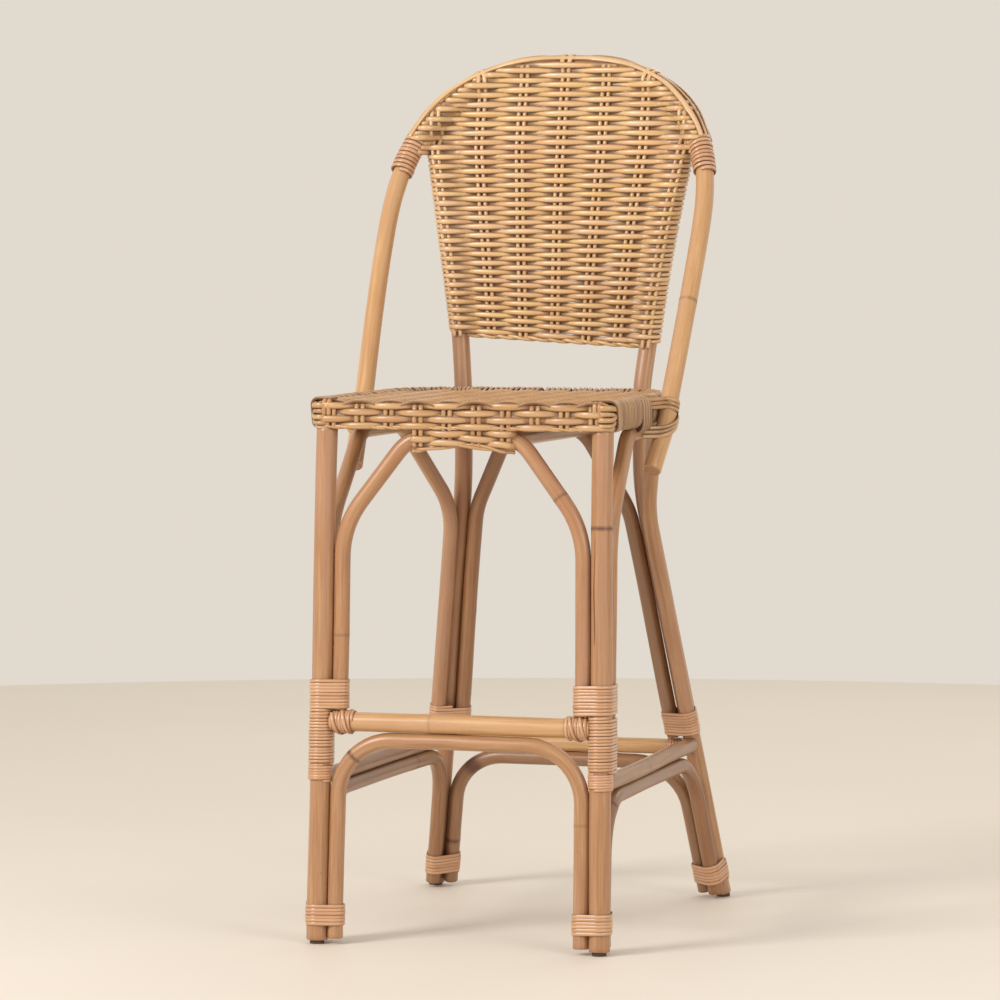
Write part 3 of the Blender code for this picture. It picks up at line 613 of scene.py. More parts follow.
def cut_end(name):
    """A sawn end of cane: pale pith with fine pores."""
    s = Shader(name)
    cane = s.attribute("cane")
    pores = s.node("ShaderNodeTexVoronoi", feature="F1")
    s.link(cane, pores.inputs["Vector"])
    pores.inputs["Scale"].default_value = 950
    open_pores = s.span(pores.outputs["Distance"], 0.18, 0.42)
    tint = s.mix(s.noise(cane, 160, 3), srgb(196, 152, 118), srgb(160, 112, 80))
    color = s.mix(open_pores, srgb(96, 62, 44), tint)
    return s.finish(color, s.span(open_pores, 0, 1, 0.9, 0.75), open_pores, 0.0003, 0.5)


def rubber():
    s = Shader("glide_rubber")
    place = s.node("ShaderNodeTexCoord").outputs["Object"]
    grain = s.noise(place, 900, 3)
    color = s.mix(grain, srgb(62, 46, 36), srgb(88, 68, 54))
    return s.finish(color, s.span(grain, 0.3, 0.7, 0.6, 0.8), grain, 0.0002, 0.4)


def floor_material():
    s = Shader("floor")
    place = s.node("ShaderNodeTexCoord").outputs["Object"]
    cloud = s.noise(place, 1.2, 2)
    color = s.mix(cloud, srgb(222, 214, 203), srgb(228, 221, 211))
    return s.finish(color, s.span(cloud, 0, 1, 0.5, 0.6))


# The fourth colour of each finish: dark specks and joint rings, and the colour of painted shade.
SPECK_AND_SHADE = (84, 48, 36)
SMOOTH_CANE = (0.28, 0.46)
pole_wood = rattan("rattan_pole", (196, 158, 116), (172, 130, 91), (142, 98, 65), SPECK_AND_SHADE,
                   (166, 112, 74), (172, 130, 104))
pale_wood = rattan("rattan_pole_pale", (216, 180, 131), (195, 154, 106), (168, 124, 80), SPECK_AND_SHADE,
                   (188, 136, 90), (194, 152, 116))
# A darker copy of the pole finish, for the poles that sit in shade under the seat and low at the
# rear: painted shade.
shaded_pole_wood = rattan("rattan_pole_shaded", (172, 132, 92), (150, 108, 72), (120, 82, 54), SPECK_AND_SHADE,
                   (136, 90, 60), (142, 112, 88))
cane_wood = rattan("wound_cane", (222, 182, 142), (200, 154, 113), (168, 120, 83), (90, 54, 42),
                   (192, 138, 100), (210, 164, 130), fibre=1.6, rough=SMOOTH_CANE, coat=0.45)
weave_wood = rattan("woven_cane", (238, 206, 148), (218, 178, 118), (184, 138, 82), (88, 48, 42),
                    (214, 166, 128), (220, 184, 146), fibre=1.8, rough=SMOOTH_CANE, coat=0.40)
seat_wood = rattan("seat_cane", (220, 184, 128), (194, 152, 98), (158, 113, 66), (76, 42, 34),
                   (184, 134, 98), (196, 158, 120), fibre=1.8, rough=SMOOTH_CANE, coat=0.40)
pith = cut_end("sawn_end")


# ---------------------------------------------------------------- poles


PLAIN = (pole_wood, "pole")
PALE = (pale_wood, "pale_pole")
# Poles under the seat and low at the rear take the darker copy: painted shade.
SHADED_POLE = (shaded_pole_wood, "dark_pole")
POLE_STEP = 0.006
JOINT_GAP = (0.34, 0.60)
FIRST_JOINT = 0.10
JOINT_FREE_END = 0.02
WAVER = 0.012
JOINT_SWELL, JOINT_SWELL_REACH = 0.030, 0.009
JOINT_GROOVE, JOINT_GROOVE_REACH, JOINT_GROOVE_PAST = 0.022, 0.0022, 0.004
BEND = 0.0005
STRAIGHT_END = 0.05
FOOT_RAISED = 0.0002
BURN_ABOVE_BEND = 0.004
BURN_REACH = 0.013
CRACK_LOW, CRACK_HIGH = 0.425, 0.600
CRACK_POINTS = 40
CRACK_ANGLE = -118


def pole(name, path, radius, finish, burns=()):
    """A natural pole: a little uneven, with a low ring at each joint, sawn at both ends."""
    material, slot_name = finish
    path = even(path, POLE_STEP)
    n = len(path)
    along = np.arange(n) * POLE_STEP
    joints = []
    at = chance.uniform(FIRST_JOINT, JOINT_GAP[1])
    while at < along[-1] - JOINT_FREE_END:
        joints.append(at)
        at += chance.uniform(*JOINT_GAP)
    size = np.full(n, float(radius))
    size *= 1 + WAVER * np.sin(along * chance.uniform(9, 15) + chance.uniform(0, 6))
    for joint in joints:
        size *= 1 + JOINT_SWELL * np.exp(-(((along - joint) / JOINT_SWELL_REACH) ** 2))
        past = (along - joint - JOINT_GROOVE_PAST) / JOINT_GROOVE_REACH
        size *= 1 - JOINT_GROOVE * np.exp(-(past**2))
    bend = np.zeros((n, 3))
    for axis in range(3):
        bend[:, axis] = BEND * np.sin(along * chance.uniform(8, 16) + chance.uniform(0, 6))
    fade = np.clip(np.minimum(along, along[-1] - along) / STRAIGHT_END, 0, 1)[:, None]
    strands = Strands()
    strands.add(path + bend * fade, size, size, sides=28, joints=joints, burns=burns, cut=True,
                tone=chance.uniform(0.0, 0.8))
    strands.object(name + "_pole", [material, pith], slot_name, [name])


def make_poles():
    seat_level = vec(UPRIGHT_X, UPRIGHT_Y, SEAT_UNDERSIDE)
    behind_seat = vec(UPRIGHT_X, UPRIGHT_Y, SEAT_HEIGHT)
    lower = bent([rear_leg(FOOT_Z), rear_leg(KNEE_Z), seat_level], [KNEE_BEND_RADIUS])
    climb = np.array([upright_at(between(BACK_LOW_Z, SIDE_TOP_Z, i / 12)) for i in range(13)])
    rear = np.concatenate([lower[:-1], [seat_level, behind_seat], climb])
    front_top = front_leg(LEG_TOP_Z - cap_rise(front_leg, FRONT_LEG_RADIUS))
    front = np.array([front_leg(FOOT_Z + FOOT_RAISED), front_top])
    for side, sign in SIDES:
        pole("front_leg_" + side, sided(front, sign), FRONT_LEG_RADIUS, PLAIN)
        smoothed = smooth_path(even(rear, 0.006), 12)
        pole("rear_leg_" + side, sided(smoothed, sign), REAR_LEG_RADIUS, PLAIN)

    start_z = upper_front_start()
    crown = (FRONT_CROWN_HALF, SEAT_FRONT + RAIL_INSET, CROWN_Z)
    right = bent([FRONT_INNER(start_z), FRONT_INNER(SHOULDER_Z), crown, (0, crown[1], CROWN_Z)],
                 [ARCH_SHOULDER_RADIUS, ARCH_CROWN_RADIUS])
    pole("front_arch", both_sides(right), ARCH_RADIUS, PLAIN)

    start_z = REAR_BAR_HEIGHT + BAR_RADIUS + CANE_WALL + 2 * GAP + cap_rise(rear_leg, ARCH_RADIUS)
    crown = (REAR_CROWN_HALF, SEAT_REAR - RAIL_INSET, CROWN_Z)
    right = bent([REAR_INNER(start_z), REAR_INNER(SHOULDER_Z), crown, (0, crown[1], CROWN_Z)],
                 [ARCH_SHOULDER_RADIUS, ARCH_CROWN_RADIUS])
    pole("rear_arch", both_sides(right), ARCH_RADIUS, SHADED_POLE)

    start_z = SIDE_BAR_HEIGHT + BAR_RADIUS + GAP
    front_crown = SEAT_FRONT + RAIL_INSET + SIDE_CROWN_FRONT
    rear_crown = SEAT_REAR - SIDE_CROWN_REAR
    corners = [
        FRONT_REARWARD(start_z + cap_rise(front_leg, ARCH_RADIUS)),
        FRONT_REARWARD(SHOULDER_Z),
        (seat_half_width(front_crown) - RAIL_INSET, front_crown, CROWN_Z),
        (seat_half_width(rear_crown) - RAIL_INSET, rear_crown, CROWN_Z),
        REAR_FORWARD(SHOULDER_Z),
        REAR_FORWARD(start_z + cap_rise(rear_leg, ARCH_RADIUS)),
    ]
    radii = [ARCH_SHOULDER_RADIUS, ARCH_CROWN_RADIUS, ARCH_CROWN_RADIUS, ARCH_SHOULDER_RADIUS]
    for side, sign in SIDES:
        pole("side_arch_" + side, sided(bent(corners, radii), sign), ARCH_RADIUS, PLAIN)


def make_lower_poles():
    foot = ARCH_FOOT_CLEARANCE
    corner = FRONT_INNER(LOWER_FRONT_Z)
    right = bent([FRONT_INNER(foot), corner, (0, corner[1], LOWER_FRONT_Z)], [LOWER_BEND_RADIUS])
    pole("lower_front_arch", both_sides(right), ARCH_RADIUS, PLAIN)
    corner = REAR_INNER(LOWER_REAR_Z)
    right = bent([REAR_INNER(foot), corner, (0, corner[1], LOWER_REAR_Z)], [LOWER_BEND_RADIUS])
    whole = both_sides(right)
    burn = distances(whole)[-1] - (corner[2] - foot) - BURN_ABOVE_BEND
    pole("lower_rear_arch", whole, ARCH_RADIUS, SHADED_POLE, burns=[(burn, BURN_REACH)])
    path = bent(
        [FRONT_LOWER_REARWARD(foot), FRONT_LOWER_REARWARD(LOWER_SIDE_Z),
         REAR_LOWER_FORWARD(LOWER_SIDE_Z), REAR_LOWER_FORWARD(foot)],
        [LOWER_BEND_RADIUS] * 2,
    )
    start = front_leg(SIDE_BAR_HEIGHT)
    end = rear_leg(SIDE_BAR_HEIGHT)
    way = unit(end - start)
    bar = np.array([
        start + way * side_room(front_leg, FRONT_LEG_RADIUS, BAR_RADIUS, way),
        end - way * side_room(rear_leg, REAR_LEG_RADIUS, BAR_RADIUS, way),
    ])
    for side, sign in SIDES:
        pole("lower_side_arch_" + side, sided(path, sign), ARCH_RADIUS, SHADED_POLE)
        pole("side_bar_" + side, sided(bar, sign), BAR_RADIUS, SHADED_POLE)
    for name, leg, leg_radius, height, radius in (
        ("footrest_bar", front_leg, FRONT_LEG_RADIUS, FOOTREST_HEIGHT, FOOTREST_RADIUS),
        ("rear_bar", rear_leg, REAR_LEG_RADIUS, REAR_BAR_HEIGHT, BAR_RADIUS),
    ):
        half = leg(height)[0] - side_room(leg, leg_radius, radius, (1, 0, 0))
        y = leg(height)[1]
        pole(name, [(-half, y, height), (half, y, height)], radius, PALE)


def make_seat_poles():
    rail_start = SEAT_FRONT + RAIL_INSET
    inner = FRONT_LEG_TOP[0] - RAIL_RADIUS - 3 * GAP
    pole("seat_front_rail", [(-inner, rail_start, RAIL_Z), (inner, rail_start, RAIL_Z)],
         RAIL_RADIUS, SHADED_POLE)
    plan = [(x, y) for x, y in seat_edge(RAIL_INSET) if y > rail_start + 0.003]
    first = (FRONT_LEG_TOP[0], rail_start - RAIL_RADIUS / 2)
    path = [(x, y, RAIL_Z) for x, y in [first, *plan, (-first[0], first[1])]]
    pole("seat_hoop", path, RAIL_RADIUS, SHADED_POLE)
    near = SEAT_FRONT + RAIL_INSET + ARCH_RADIUS + GAP
    far = SEAT_REAR - RAIL_INSET - ARCH_RADIUS - GAP
    z = SEAT_UNDERSIDE - GAP - BEARER_RADIUS
    for side, sign in SIDES:
        x = sign * BEARER_SPACING / 2
        pole("seat_bearer_" + side, [(x, near, z), (x, far, z)], BEARER_RADIUS,
             (pole_wood, "dark_pole"))


def upper_front_start():
    bound = FOOTREST_RADIUS + GAP + CANE_WALL
    return FOOTREST_HEIGHT + bound + cap_rise(front_leg, ARCH_RADIUS)


def make_loop():
    low = SEAT_HEIGHT - LOOP_BELOW_SEAT
    heights = [low + (SEAT_UNDERSIDE - low) * i / 4 for i in range(4)]
    top = SEAT_HEIGHT + RIM_START_HEIGHT
    heights += [between(SEAT_UNDERSIDE, top, i / 40) for i in range(40)]
    right = np.array([loop_at(z) for z in heights])
    whole = np.concatenate([right, rim_path(RIM_START_HEIGHT), flip(right)[::-1]])
    pole("back_loop", smooth_path(even(whole, 0.006), 6), LOOP_RADIUS, PALE)


def make_crack():
    """A lengthwise split in the front right leg."""
    points = []
    for i in range(CRACK_POINTS):
        z = between(CRACK_LOW, CRACK_HIGH, i / (CRACK_POINTS - 1))
        a = math.radians(CRACK_ANGLE + 3 * math.sin(z * 60))
        away = FRONT_LEG_RADIUS + 0.0001
        points.append(front_leg(z) + vec(away * math.cos(a), away * math.sin(a), 0))
    taper = np.sin(np.linspace(0.06, 0.94, CRACK_POINTS) * math.pi)
    strands = Strands()
    strands.add(points, 0.0003, 0.0008 * taper, up=vec(1, 0, 0), sides=6, shade=1.0)
    strands.object("front_leg_R_crack", [shaded_pole_wood], "dark_pole")


make_poles()
make_crack()
make_lower_poles()
make_seat_poles()
make_loop()


# ---------------------------------------------------------------- cane windings


CANE_THICK = 0.0012
CANE_PITCH = 0.0047
THREE_POLE_PITCH = 0.0050
FOOT_PITCH = 0.0055
BAR_PITCH = 0.0052
WINDING_SHADE = 0.75


def half_hull(points):
    """The hull's lower side, for points in order."""
    chain = []
    for p in points:
        while len(chain) > 1:
            (ax, ay), (bx, by) = chain[-2], chain[-1]
            if (bx - ax) * (p[1] - ay) - (by - ay) * (p[0] - ax) > 0:
                break
            chain.pop()
        chain.append(p)
    return chain[:-1]


def hull_outline(circles, grown, count=64):
    """Points evenly round several circles, as a cord pulled tight round them lies."""
    cloud = []
    for (x, y), radius in circles:
        for i in range(48):
            a = 2 * math.pi * i / 48
            cloud.append((x + (radius + grown) * math.cos(a), y + (radius + grown) * math.sin(a)))
    cloud = sorted(set(cloud))
    hull = np.array(half_hull(cloud) + half_hull(cloud[::-1]))
    ring = np.concatenate([hull, hull[:1]])
    lengths = distances(ring)
    at = np.linspace(0, lengths[-1], count, endpoint=False)
    return np.stack([np.interp(at, lengths, ring[:, i]) for i in range(2)], axis=1)


def drift(steps, count, per_turn, low, high):
    """A random value at each step of a winding, changing gently within each turn."""
    knots = np.arange(0, steps[-1] + count, count // per_turn)
    return np.interp(steps, knots, chance.uniform(low, high, len(knots)))


def wind(strands, path, side, outline, turns, width, thick, loose=0.0004, start=0.0):
    """One cane wound round a path in close turns, outline being the section it lies on."""
    path = even(path, 0.001)
    tangent = directions(path)
    count = len(outline)
    steps = np.arange(int(turns * count) + 1)
    last = steps[-1]
    at = np.linspace(0, 1, last + 1) * (len(path) - 1)
    low = np.minimum(at.astype(int), len(path) - 2)
    rest = (at - low)[:, None]
    center = path[low] * (1 - rest) + path[low + 1] * rest
    axis = tangent[low]
    first = side[None] - axis * (axis @ side)[:, None]
    first /= np.linalg.norm(first, axis=1)[:, None]
    other = np.cross(axis, first)
    o = outline[(steps + int(start * count)) % count]
    grown = drift(steps, count, 4, 0, loose * 2)
    slide = drift(steps, count, 3, -loose, loose)
    fade = np.clip(np.minimum(steps, last - steps) / (count * 0.12), 0, 1)
    size = np.linalg.norm(o, axis=1)[:, None]
    o = o * (1 + (grown[:, None] - (1 - fade[:, None]) * thick) / size)
    points = center + first * o[:, :1] + other * o[:, 1:] + axis * slide[:, None]
    strands.add(points, thick, width, up=axis, sides=10, flank=WINDING_SHADE)


def bundle(low, high, poles):
    """Path, side direction and section circles of a bundle of parallel poles."""
    main = poles[0][0]
    bottom, top = main(low), main(high)
    axis = unit(top - bottom)
    middle = (bottom + top) / 2
    side = unit(vec(1, 0, 0) - axis * axis[0])
    other = np.cross(axis, side)
    circles = []
    for line, radius in poles:
        away = line(middle[2]) - middle
        circles.append(((away.dot(side), away.dot(other)), radius))
    return np.array([bottom, top]), side, circles


def bind(name, poles, low, high, pitch=CANE_PITCH, replaced=None):
    """A cane wound round the poles from one height to another."""
    path, side, circles = bundle(low, high, poles)
    outline = hull_outline(circles, CANE_THICK * 0.8)
    turns = round(np.linalg.norm(path[1] - path[0]) / pitch)
    inset = unit(path[1] - path[0]) * pitch / 2
    strands = Strands()
    wind(strands, [path[0] + inset, path[1] - inset], side, outline, turns, pitch / 2 * 0.95,
         CANE_THICK, start=chance.uniform(0, 1))
    strands.object(name + "_cane", [cane_wood], "cane", [name] if replaced is None else replaced)


def make_bindings():
    for side, sign in SIDES:
        main = (sided_line(front_leg, sign), FRONT_LEG_RADIUS)
        inner, rearward, lower = (
            (sided_line(line, sign), ARCH_RADIUS)
            for line in (FRONT_INNER, FRONT_REARWARD, FRONT_LOWER_REARWARD)
        )
        bind("front_foot_binding_" + side, [main, inner, lower], *FOOT_BINDING, pitch=FOOT_PITCH)
        low = upper_front_start() + GAP
        bind("front_upper_binding_" + side, [main, inner, rearward], low - 0.0015,
             low + FRONT_BINDING_LENGTH, pitch=THREE_POLE_PITCH)
        low = SIDE_BAR_HEIGHT + BAR_RADIUS + BINDING_ABOVE_BAR
        high = upper_front_start() + 0.0005
        bind("front_lower_binding_" + side, [main, rearward], low, high)
        bind("front_leg_winding_" + side, [main], SIDE_BAR_HEIGHT - 0.007, low + 0.0035,
             replaced=[])

        main = (sided_line(rear_leg, sign), REAR_LEG_RADIUS)
        inner, forward, lower = (
            (sided_line(line, sign), ARCH_RADIUS)
            for line in (REAR_INNER, REAR_FORWARD, REAR_LOWER_FORWARD)
        )
        bind("rear_foot_binding_" + side, [main, inner, lower], *FOOT_BINDING, pitch=FOOT_PITCH)
        low = SIDE_BAR_HEIGHT + BAR_RADIUS + CANE_WALL + BINDING_ABOVE_BAR
        bind("rear_binding_" + side, [main, inner, forward], low, low + REAR_BINDING_LENGTH,
             pitch=THREE_POLE_PITCH)


FOOTREST_WINDING_LONGER = 0.009
CROSSING_STARTS = (0.10, 0.62)


def make_bar_bindings():
    for name, leg, leg_radius, height, radius, longer, crossings in (
        ("footrest_binding_", front_leg, FRONT_LEG_RADIUS, FOOTREST_HEIGHT, FOOTREST_RADIUS,
         FOOTREST_WINDING_LONGER, CROSSING_STARTS),
        ("rear_bar_binding_", rear_leg, REAR_LEG_RADIUS, REAR_BAR_HEIGHT, BAR_RADIUS, 0, ()),
    ):
        outer = leg(height)[0] - side_room(leg, leg_radius, radius + CANE_WALL + GAP, (1, 0, 0))
        y = leg(height)[1]
        outline = hull_outline([((0, 0), radius)], CANE_THICK)
        wide = hull_outline([((0, 0), radius)], CANE_THICK * 3)
        length = END_BINDING_LENGTH + longer
        half = BAR_PITCH / 2
        for side, sign in SIDES:
            strands = Strands()
            ends = np.array([(sign * (outer - half), y, height),
                             (sign * (outer - length + half), y, height)])
            wind(strands, ends, UP, outline, length / BAR_PITCH, half, CANE_THICK * 1.2)
            ends[1] = between(ends[0], ends[1], 0.9)
            for start in crossings:
                wind(strands, ends, UP, wide, 0.9, half, CANE_THICK, start=start)
            strands.object(name + side + "_cane", [cane_wood], "cane", [name + side])


def make_loop_bindings():
    outline = hull_outline([((0, 0), LOOP_RADIUS)], GAP + 0.0018)
    low, high = (SEAT_HEIGHT + h for h in LOOP_BINDING)
    heights = [between(low - 0.004, high + 0.004, i / 12) for i in range(13)]
    for side, sign in SIDES:
        name = "loop_binding_" + side
        strands = Strands()
        wind(strands, sided([loop_at(z) for z in heights], sign), vec(0, 1, 0), outline, 9, 0.0032,
             0.0017, loose=0.0005)
        strands.object(name + "_cane", [cane_wood], "cane", [name])


make_bindings()
make_bar_bindings()
make_loop_bindings()


# ---------------------------------------------------------------- woven back

COLUMNS = 3
STAKE_RADIUS = 0.0030
STAKE_APART = 0.0045
WEAVER_THICK = 0.0023
WEAVE_DEPTH = 0.0051
WEAVE_DEPTH_AT_RIM = 0.0034
ROW_PITCH_LOW = 0.00645
ROW_PITCH_HIGH = 0.0072
ROW_HALF_CROSSING = 0.515
ROW_HALF_OVER = 0.120
WEAVE_OFF_POLE = 0.0050
ROW_TUCK = 0.012
UNDER_EDGE = 0.0012
UPRIGHT_LIFT_REACH = 0.022
FIRST_ROW_RISE = 0.0040
LAST_ROW_RISE = 0.0055
# Rows from this height up run from rim to rim.
FULL_ROW_Z = SIDE_TOP_Z - 0.006
OVER_UPRIGHT_Z = SIDE_TOP_Z + 0.016
LATE = 0.7
WRAP_POINTS = 20
WRAP_ANGLE = 250


def column_reach(z):
    """How far apart the columns of stakes stand at height z."""
    return upright_at(min(z, SIDE_TOP_Z))[0] / COLUMNS


def weave_swing(phase):
    """-1 in front of a stake, 1 behind it, flat at both."""
    return -np.tanh(1.5 * np.cos(np.pi * phase)) / math.tanh(1.5)


def bottom_tilt(x, z):
    return -0.055 * x * np.exp(-(z - BACK_LOW_Z) / 0.06)


def row_pitch(z):
    return between(ROW_PITCH_LOW, ROW_PITCH_HIGH, (z - BACK_LOW_Z) / (BACK_HIGH_Z - BACK_LOW_Z))


def loop_line():
    low = SEAT_HEIGHT + LOOP_WIDEST_HEIGHT
    top = SEAT_HEIGHT + RIM_START_HEIGHT
    right = np.array([loop_at(between(low, top, i / 20)) for i in range(20)])
    return even(np.concatenate([right, rim_path(RIM_START_HEIGHT), flip(right)[::-1]]), 0.003)


LOOP_LINE = loop_line()


def weave_plane(x, z):
    """The middle of the weave: the back's own plane, lifted over the front of the loop."""
    room = (LOOP_RADIUS + WEAVE_OFF_POLE) ** 2
    room = room - (x[:, None] - LOOP_LINE[:, 0]) ** 2 - (z[:, None] - LOOP_LINE[:, 2]) ** 2
    over = np.where(room > 0, LOOP_LINE[:, 1] - np.sqrt(np.clip(room, 0, None)), 9).min(axis=1)
    flat = np.array([back_y(v) for v in z])
    aside = np.abs(np.abs(x) - UPRIGHT_TOP_SPACING / 2) / UPRIGHT_LIFT_REACH
    low = soft_step((OVER_UPRIGHT_Z - z) / 0.014) * (z > FULL_ROW_Z)
    flat = flat - REAR_LEG_RADIUS * low * np.exp(-(aside**4))
    return np.minimum(flat, over), over < 9


def rim_frames():
    """The arch's line, its direction, its outward direction, and its front."""
    path = even(rim_path(RIM_START_HEIGHT - 0.004), 0.004)
    tangent = directions(path)
    front = unit(vec(0, -1, LOOP_LEAN))
    outward = np.cross(tangent, front)
    outward /= np.linalg.norm(outward, axis=1)[:, None]
    center = path.mean(axis=0)
    if outward[len(path) // 2] @ (path[len(path) // 2] - center) < 0:
        outward = -outward
    return path, tangent, outward, front


RIM, RIM_TANGENT, RIM_OUTWARD, RIM_FRONT = rim_frames()


def row_end(z):
    """How far from the middle a row reaches at height z, above the uprights."""
    right = RIM[:, 0] > 0
    level = np.abs(RIM_TANGENT[right, 0])
    reach = between(0.0035, 0.0090, level)
    x = RIM[right, 0] + RIM_OUTWARD[right, 0] * reach
    up = RIM[right, 2] + RIM_OUTWARD[right, 2] * reach
    order = np.argsort(up)
    if z < up[order[0]]:
        return loop_at(z)[0] - LOOP_RADIUS - 0.001
    return float(np.interp(z, up[order], x[order]))


def weave_rows():
    rows = []
    z = BACK_LOW_Z + FIRST_ROW_RISE
    while z < BACK_HIGH_Z + LAST_ROW_RISE:
        rows.append(z)
        z += row_pitch(z)
    return rows


def row_upper(z, r):
    """A row above the uprights, from rim to rim."""
    end = row_end(z)
    x = np.linspace(-end, end, max(int(end / 0.0018), 24))
    level = np.full_like(x, z)
    plane, raised = weave_plane(x, level)
    depth = np.where(raised, WEAVE_DEPTH_AT_RIM, WEAVE_DEPTH)
    depth = np.convolve(np.pad(depth, 4, mode="edge"), np.ones(9) / 9, mode="valid")
    swing = weave_swing(x / column_reach(z) + r)
    tucked = soft_step((np.abs(x) - end + ROW_TUCK) / ROW_TUCK)
    y = plane + swing * depth * (1 - tucked) + 0.0042 * tucked
    return np.stack([x, y, level], axis=1), swing * (1 - tucked)


def row_lower(z, r, pitch):
    """A row between the uprights and round the outside of each."""
    reach = column_reach(z)
    c = np.linspace(0, COLUMNS, COLUMNS * 14 + 1)
    swing = weave_swing(c + r)
    over = (COLUMNS + r) % 2 == 0
    front = -(REAR_LEG_RADIUS + (2 * STAKE_RADIUS + WEAVER_THICK if over else UNDER_EDGE))
    offset = swing * WEAVE_DEPTH
    late = c > COLUMNS - LATE
    offset[late] = between(offset[late], front, soft_step((c[late] - COLUMNS + LATE) / 0.55))
    flat = np.stack([c * reach, back_y(z) + offset, np.full_like(c, z)], axis=1)
    wrap = []
    around = REAR_LEG_RADIUS + WEAVER_THICK
    for i in range(1, WRAP_POINTS + 1):
        a = math.radians(-90 + WRAP_ANGLE * i / WRAP_POINTS)
        size = max(between(-front, around, soft_step(i / 6)), around)
        away = (COLUMNS * reach + size * math.cos(a), back_y(z) + size * math.sin(a))
        wrap.append((*away, z + pitch * 0.5 * i / WRAP_POINTS))
    half = np.concatenate([flat, wrap])
    marks = np.concatenate([swing, np.full(len(wrap), -1.0 if over else 1.0)])
    ring = np.concatenate([np.zeros(len(flat)), np.ones(len(wrap))])
    path = np.concatenate([flip(half[1:])[::-1], half])
    return (path, np.concatenate([marks[1:][::-1], marks]),
            np.concatenate([ring[1:][::-1], ring]) > 0)


def make_back_weave():
    strands = Strands()
    for r, z in enumerate(weave_rows()):
        pitch = row_pitch(z)
        if z > FULL_ROW_Z:
            path, swing = row_upper(z, r)
            ringed = np.zeros(len(path), bool)
        else:
            path, swing, ringed = row_lower(z, r, pitch)
        tall = pitch * (ROW_HALF_CROSSING + ROW_HALF_OVER * np.abs(swing) ** 1.2)
        tall[ringed] = pitch * 0.48
        tall *= 1 + 0.04 * chance.uniform(-1, 1)
        ripple = 1 + 0.05 * np.sin(path[:, 0] * chance.uniform(60, 120) + chance.uniform(0, 6))
        lee = np.where(ringed, 0, swing)
        wave = 0.0006 * np.sin(path[:, 0] * chance.uniform(12, 34) + chance.uniform(0, 6))
        path[:, 2] += wave + bottom_tilt(path[:, 0], z)
        strands.add(smooth_path(path, 1), WEAVER_THICK, tall * ripple, up=UP, sides=12,
                    lee=lee, flank=0.75)
    strands.object("back_weavers", [weave_wood], "weave",
                   ["back_weave", "back_edge_R", "back_edge_L"])


LASH_WIDE = 0.0036
LASH_THICK = 0.0015
LASH_OFF_POLE = 0.0048
TIE_OFF_POLE = 0.0016


def make_stakes():
    strands = Strands()
    level = np.abs(RIM_TANGENT[:, 0])
    for k in range(-COLUMNS, COLUMNS + 1):
        size = LOOP_RADIUS + (LASH_OFF_POLE if k % 2 == 0 else TIE_OFF_POLE)
        for pair in (-1, 1):
            x_top = k * column_reach(SIDE_TOP_Z) + pair * STAKE_APART
            start = np.radians(between(20, -12, level))[:, None]
            sill = RIM + size * (np.cos(start) * RIM_FRONT + np.sin(start) * RIM_OUTWARD)
            at = int(np.argmin(np.abs(sill[:, 0] - x_top)))
            z_low = BACK_LOW_Z - 0.004 + bottom_tilt(k * column_reach(BACK_LOW_Z), BACK_LOW_Z)
            z = np.linspace(z_low, sill[at][2] - 0.001, 110)
            x = np.array([k * column_reach(v) for v in z]) + pair * STAKE_APART
            y, _ = weave_plane(x, z)
            if abs(k) == COLUMNS:
                lift = REAR_LEG_RADIUS * soft_step((SIDE_TOP_Z + 0.010 - z) / 0.022)
                on_row = (z > FULL_ROW_Z) & (z < OVER_UPRIGHT_Z)
                y = np.where(on_row, np.minimum(y, [back_y(v) for v in z] - lift), y - lift)
                y = y - STAKE_RADIUS * soft_step((SIDE_TOP_Z + 0.010 - z) / 0.022)
            run = np.stack([x, y, z], axis=1)
            angles = np.linspace(float(start[at][0]) + 0.12, math.radians(215), 28)
            side = RIM_OUTWARD[at]
            ring = [RIM[at] + size * (math.cos(a) * RIM_FRONT + math.sin(a) * side) for a in angles]
            path = np.concatenate([run, ring])
            lash = soft_step((np.arange(len(path)) - 104) / 8)
            across = -RIM_TANGENT[at] * np.sign(RIM_TANGENT[at][0])
            up = between(vec(-1, 0, 0), across, lash[:, None])
            strands.add(smooth_path(path, 3), between(STAKE_RADIUS, LASH_THICK, lash),
                        between(STAKE_RADIUS, LASH_WIDE, lash), up=up, sides=10, flank=0.45)
    strands.object("back_stakes", [weave_wood], "weave")


# Canes along the arch, as angles round it from the front: at the crown, at the
# bindings, and half the cane's width.
RIM_CANES = (
    (15, 20, 0.0038),
    (53, 55, 0.0026),
    (86, 90, 0.0040),
    (119, 124, 0.0043),
    (152, 158, 0.0043),
    (186, 192, 0.0043),
    (220, 226, 0.0043),
)
RIM_CANE_THICK = 0.0020


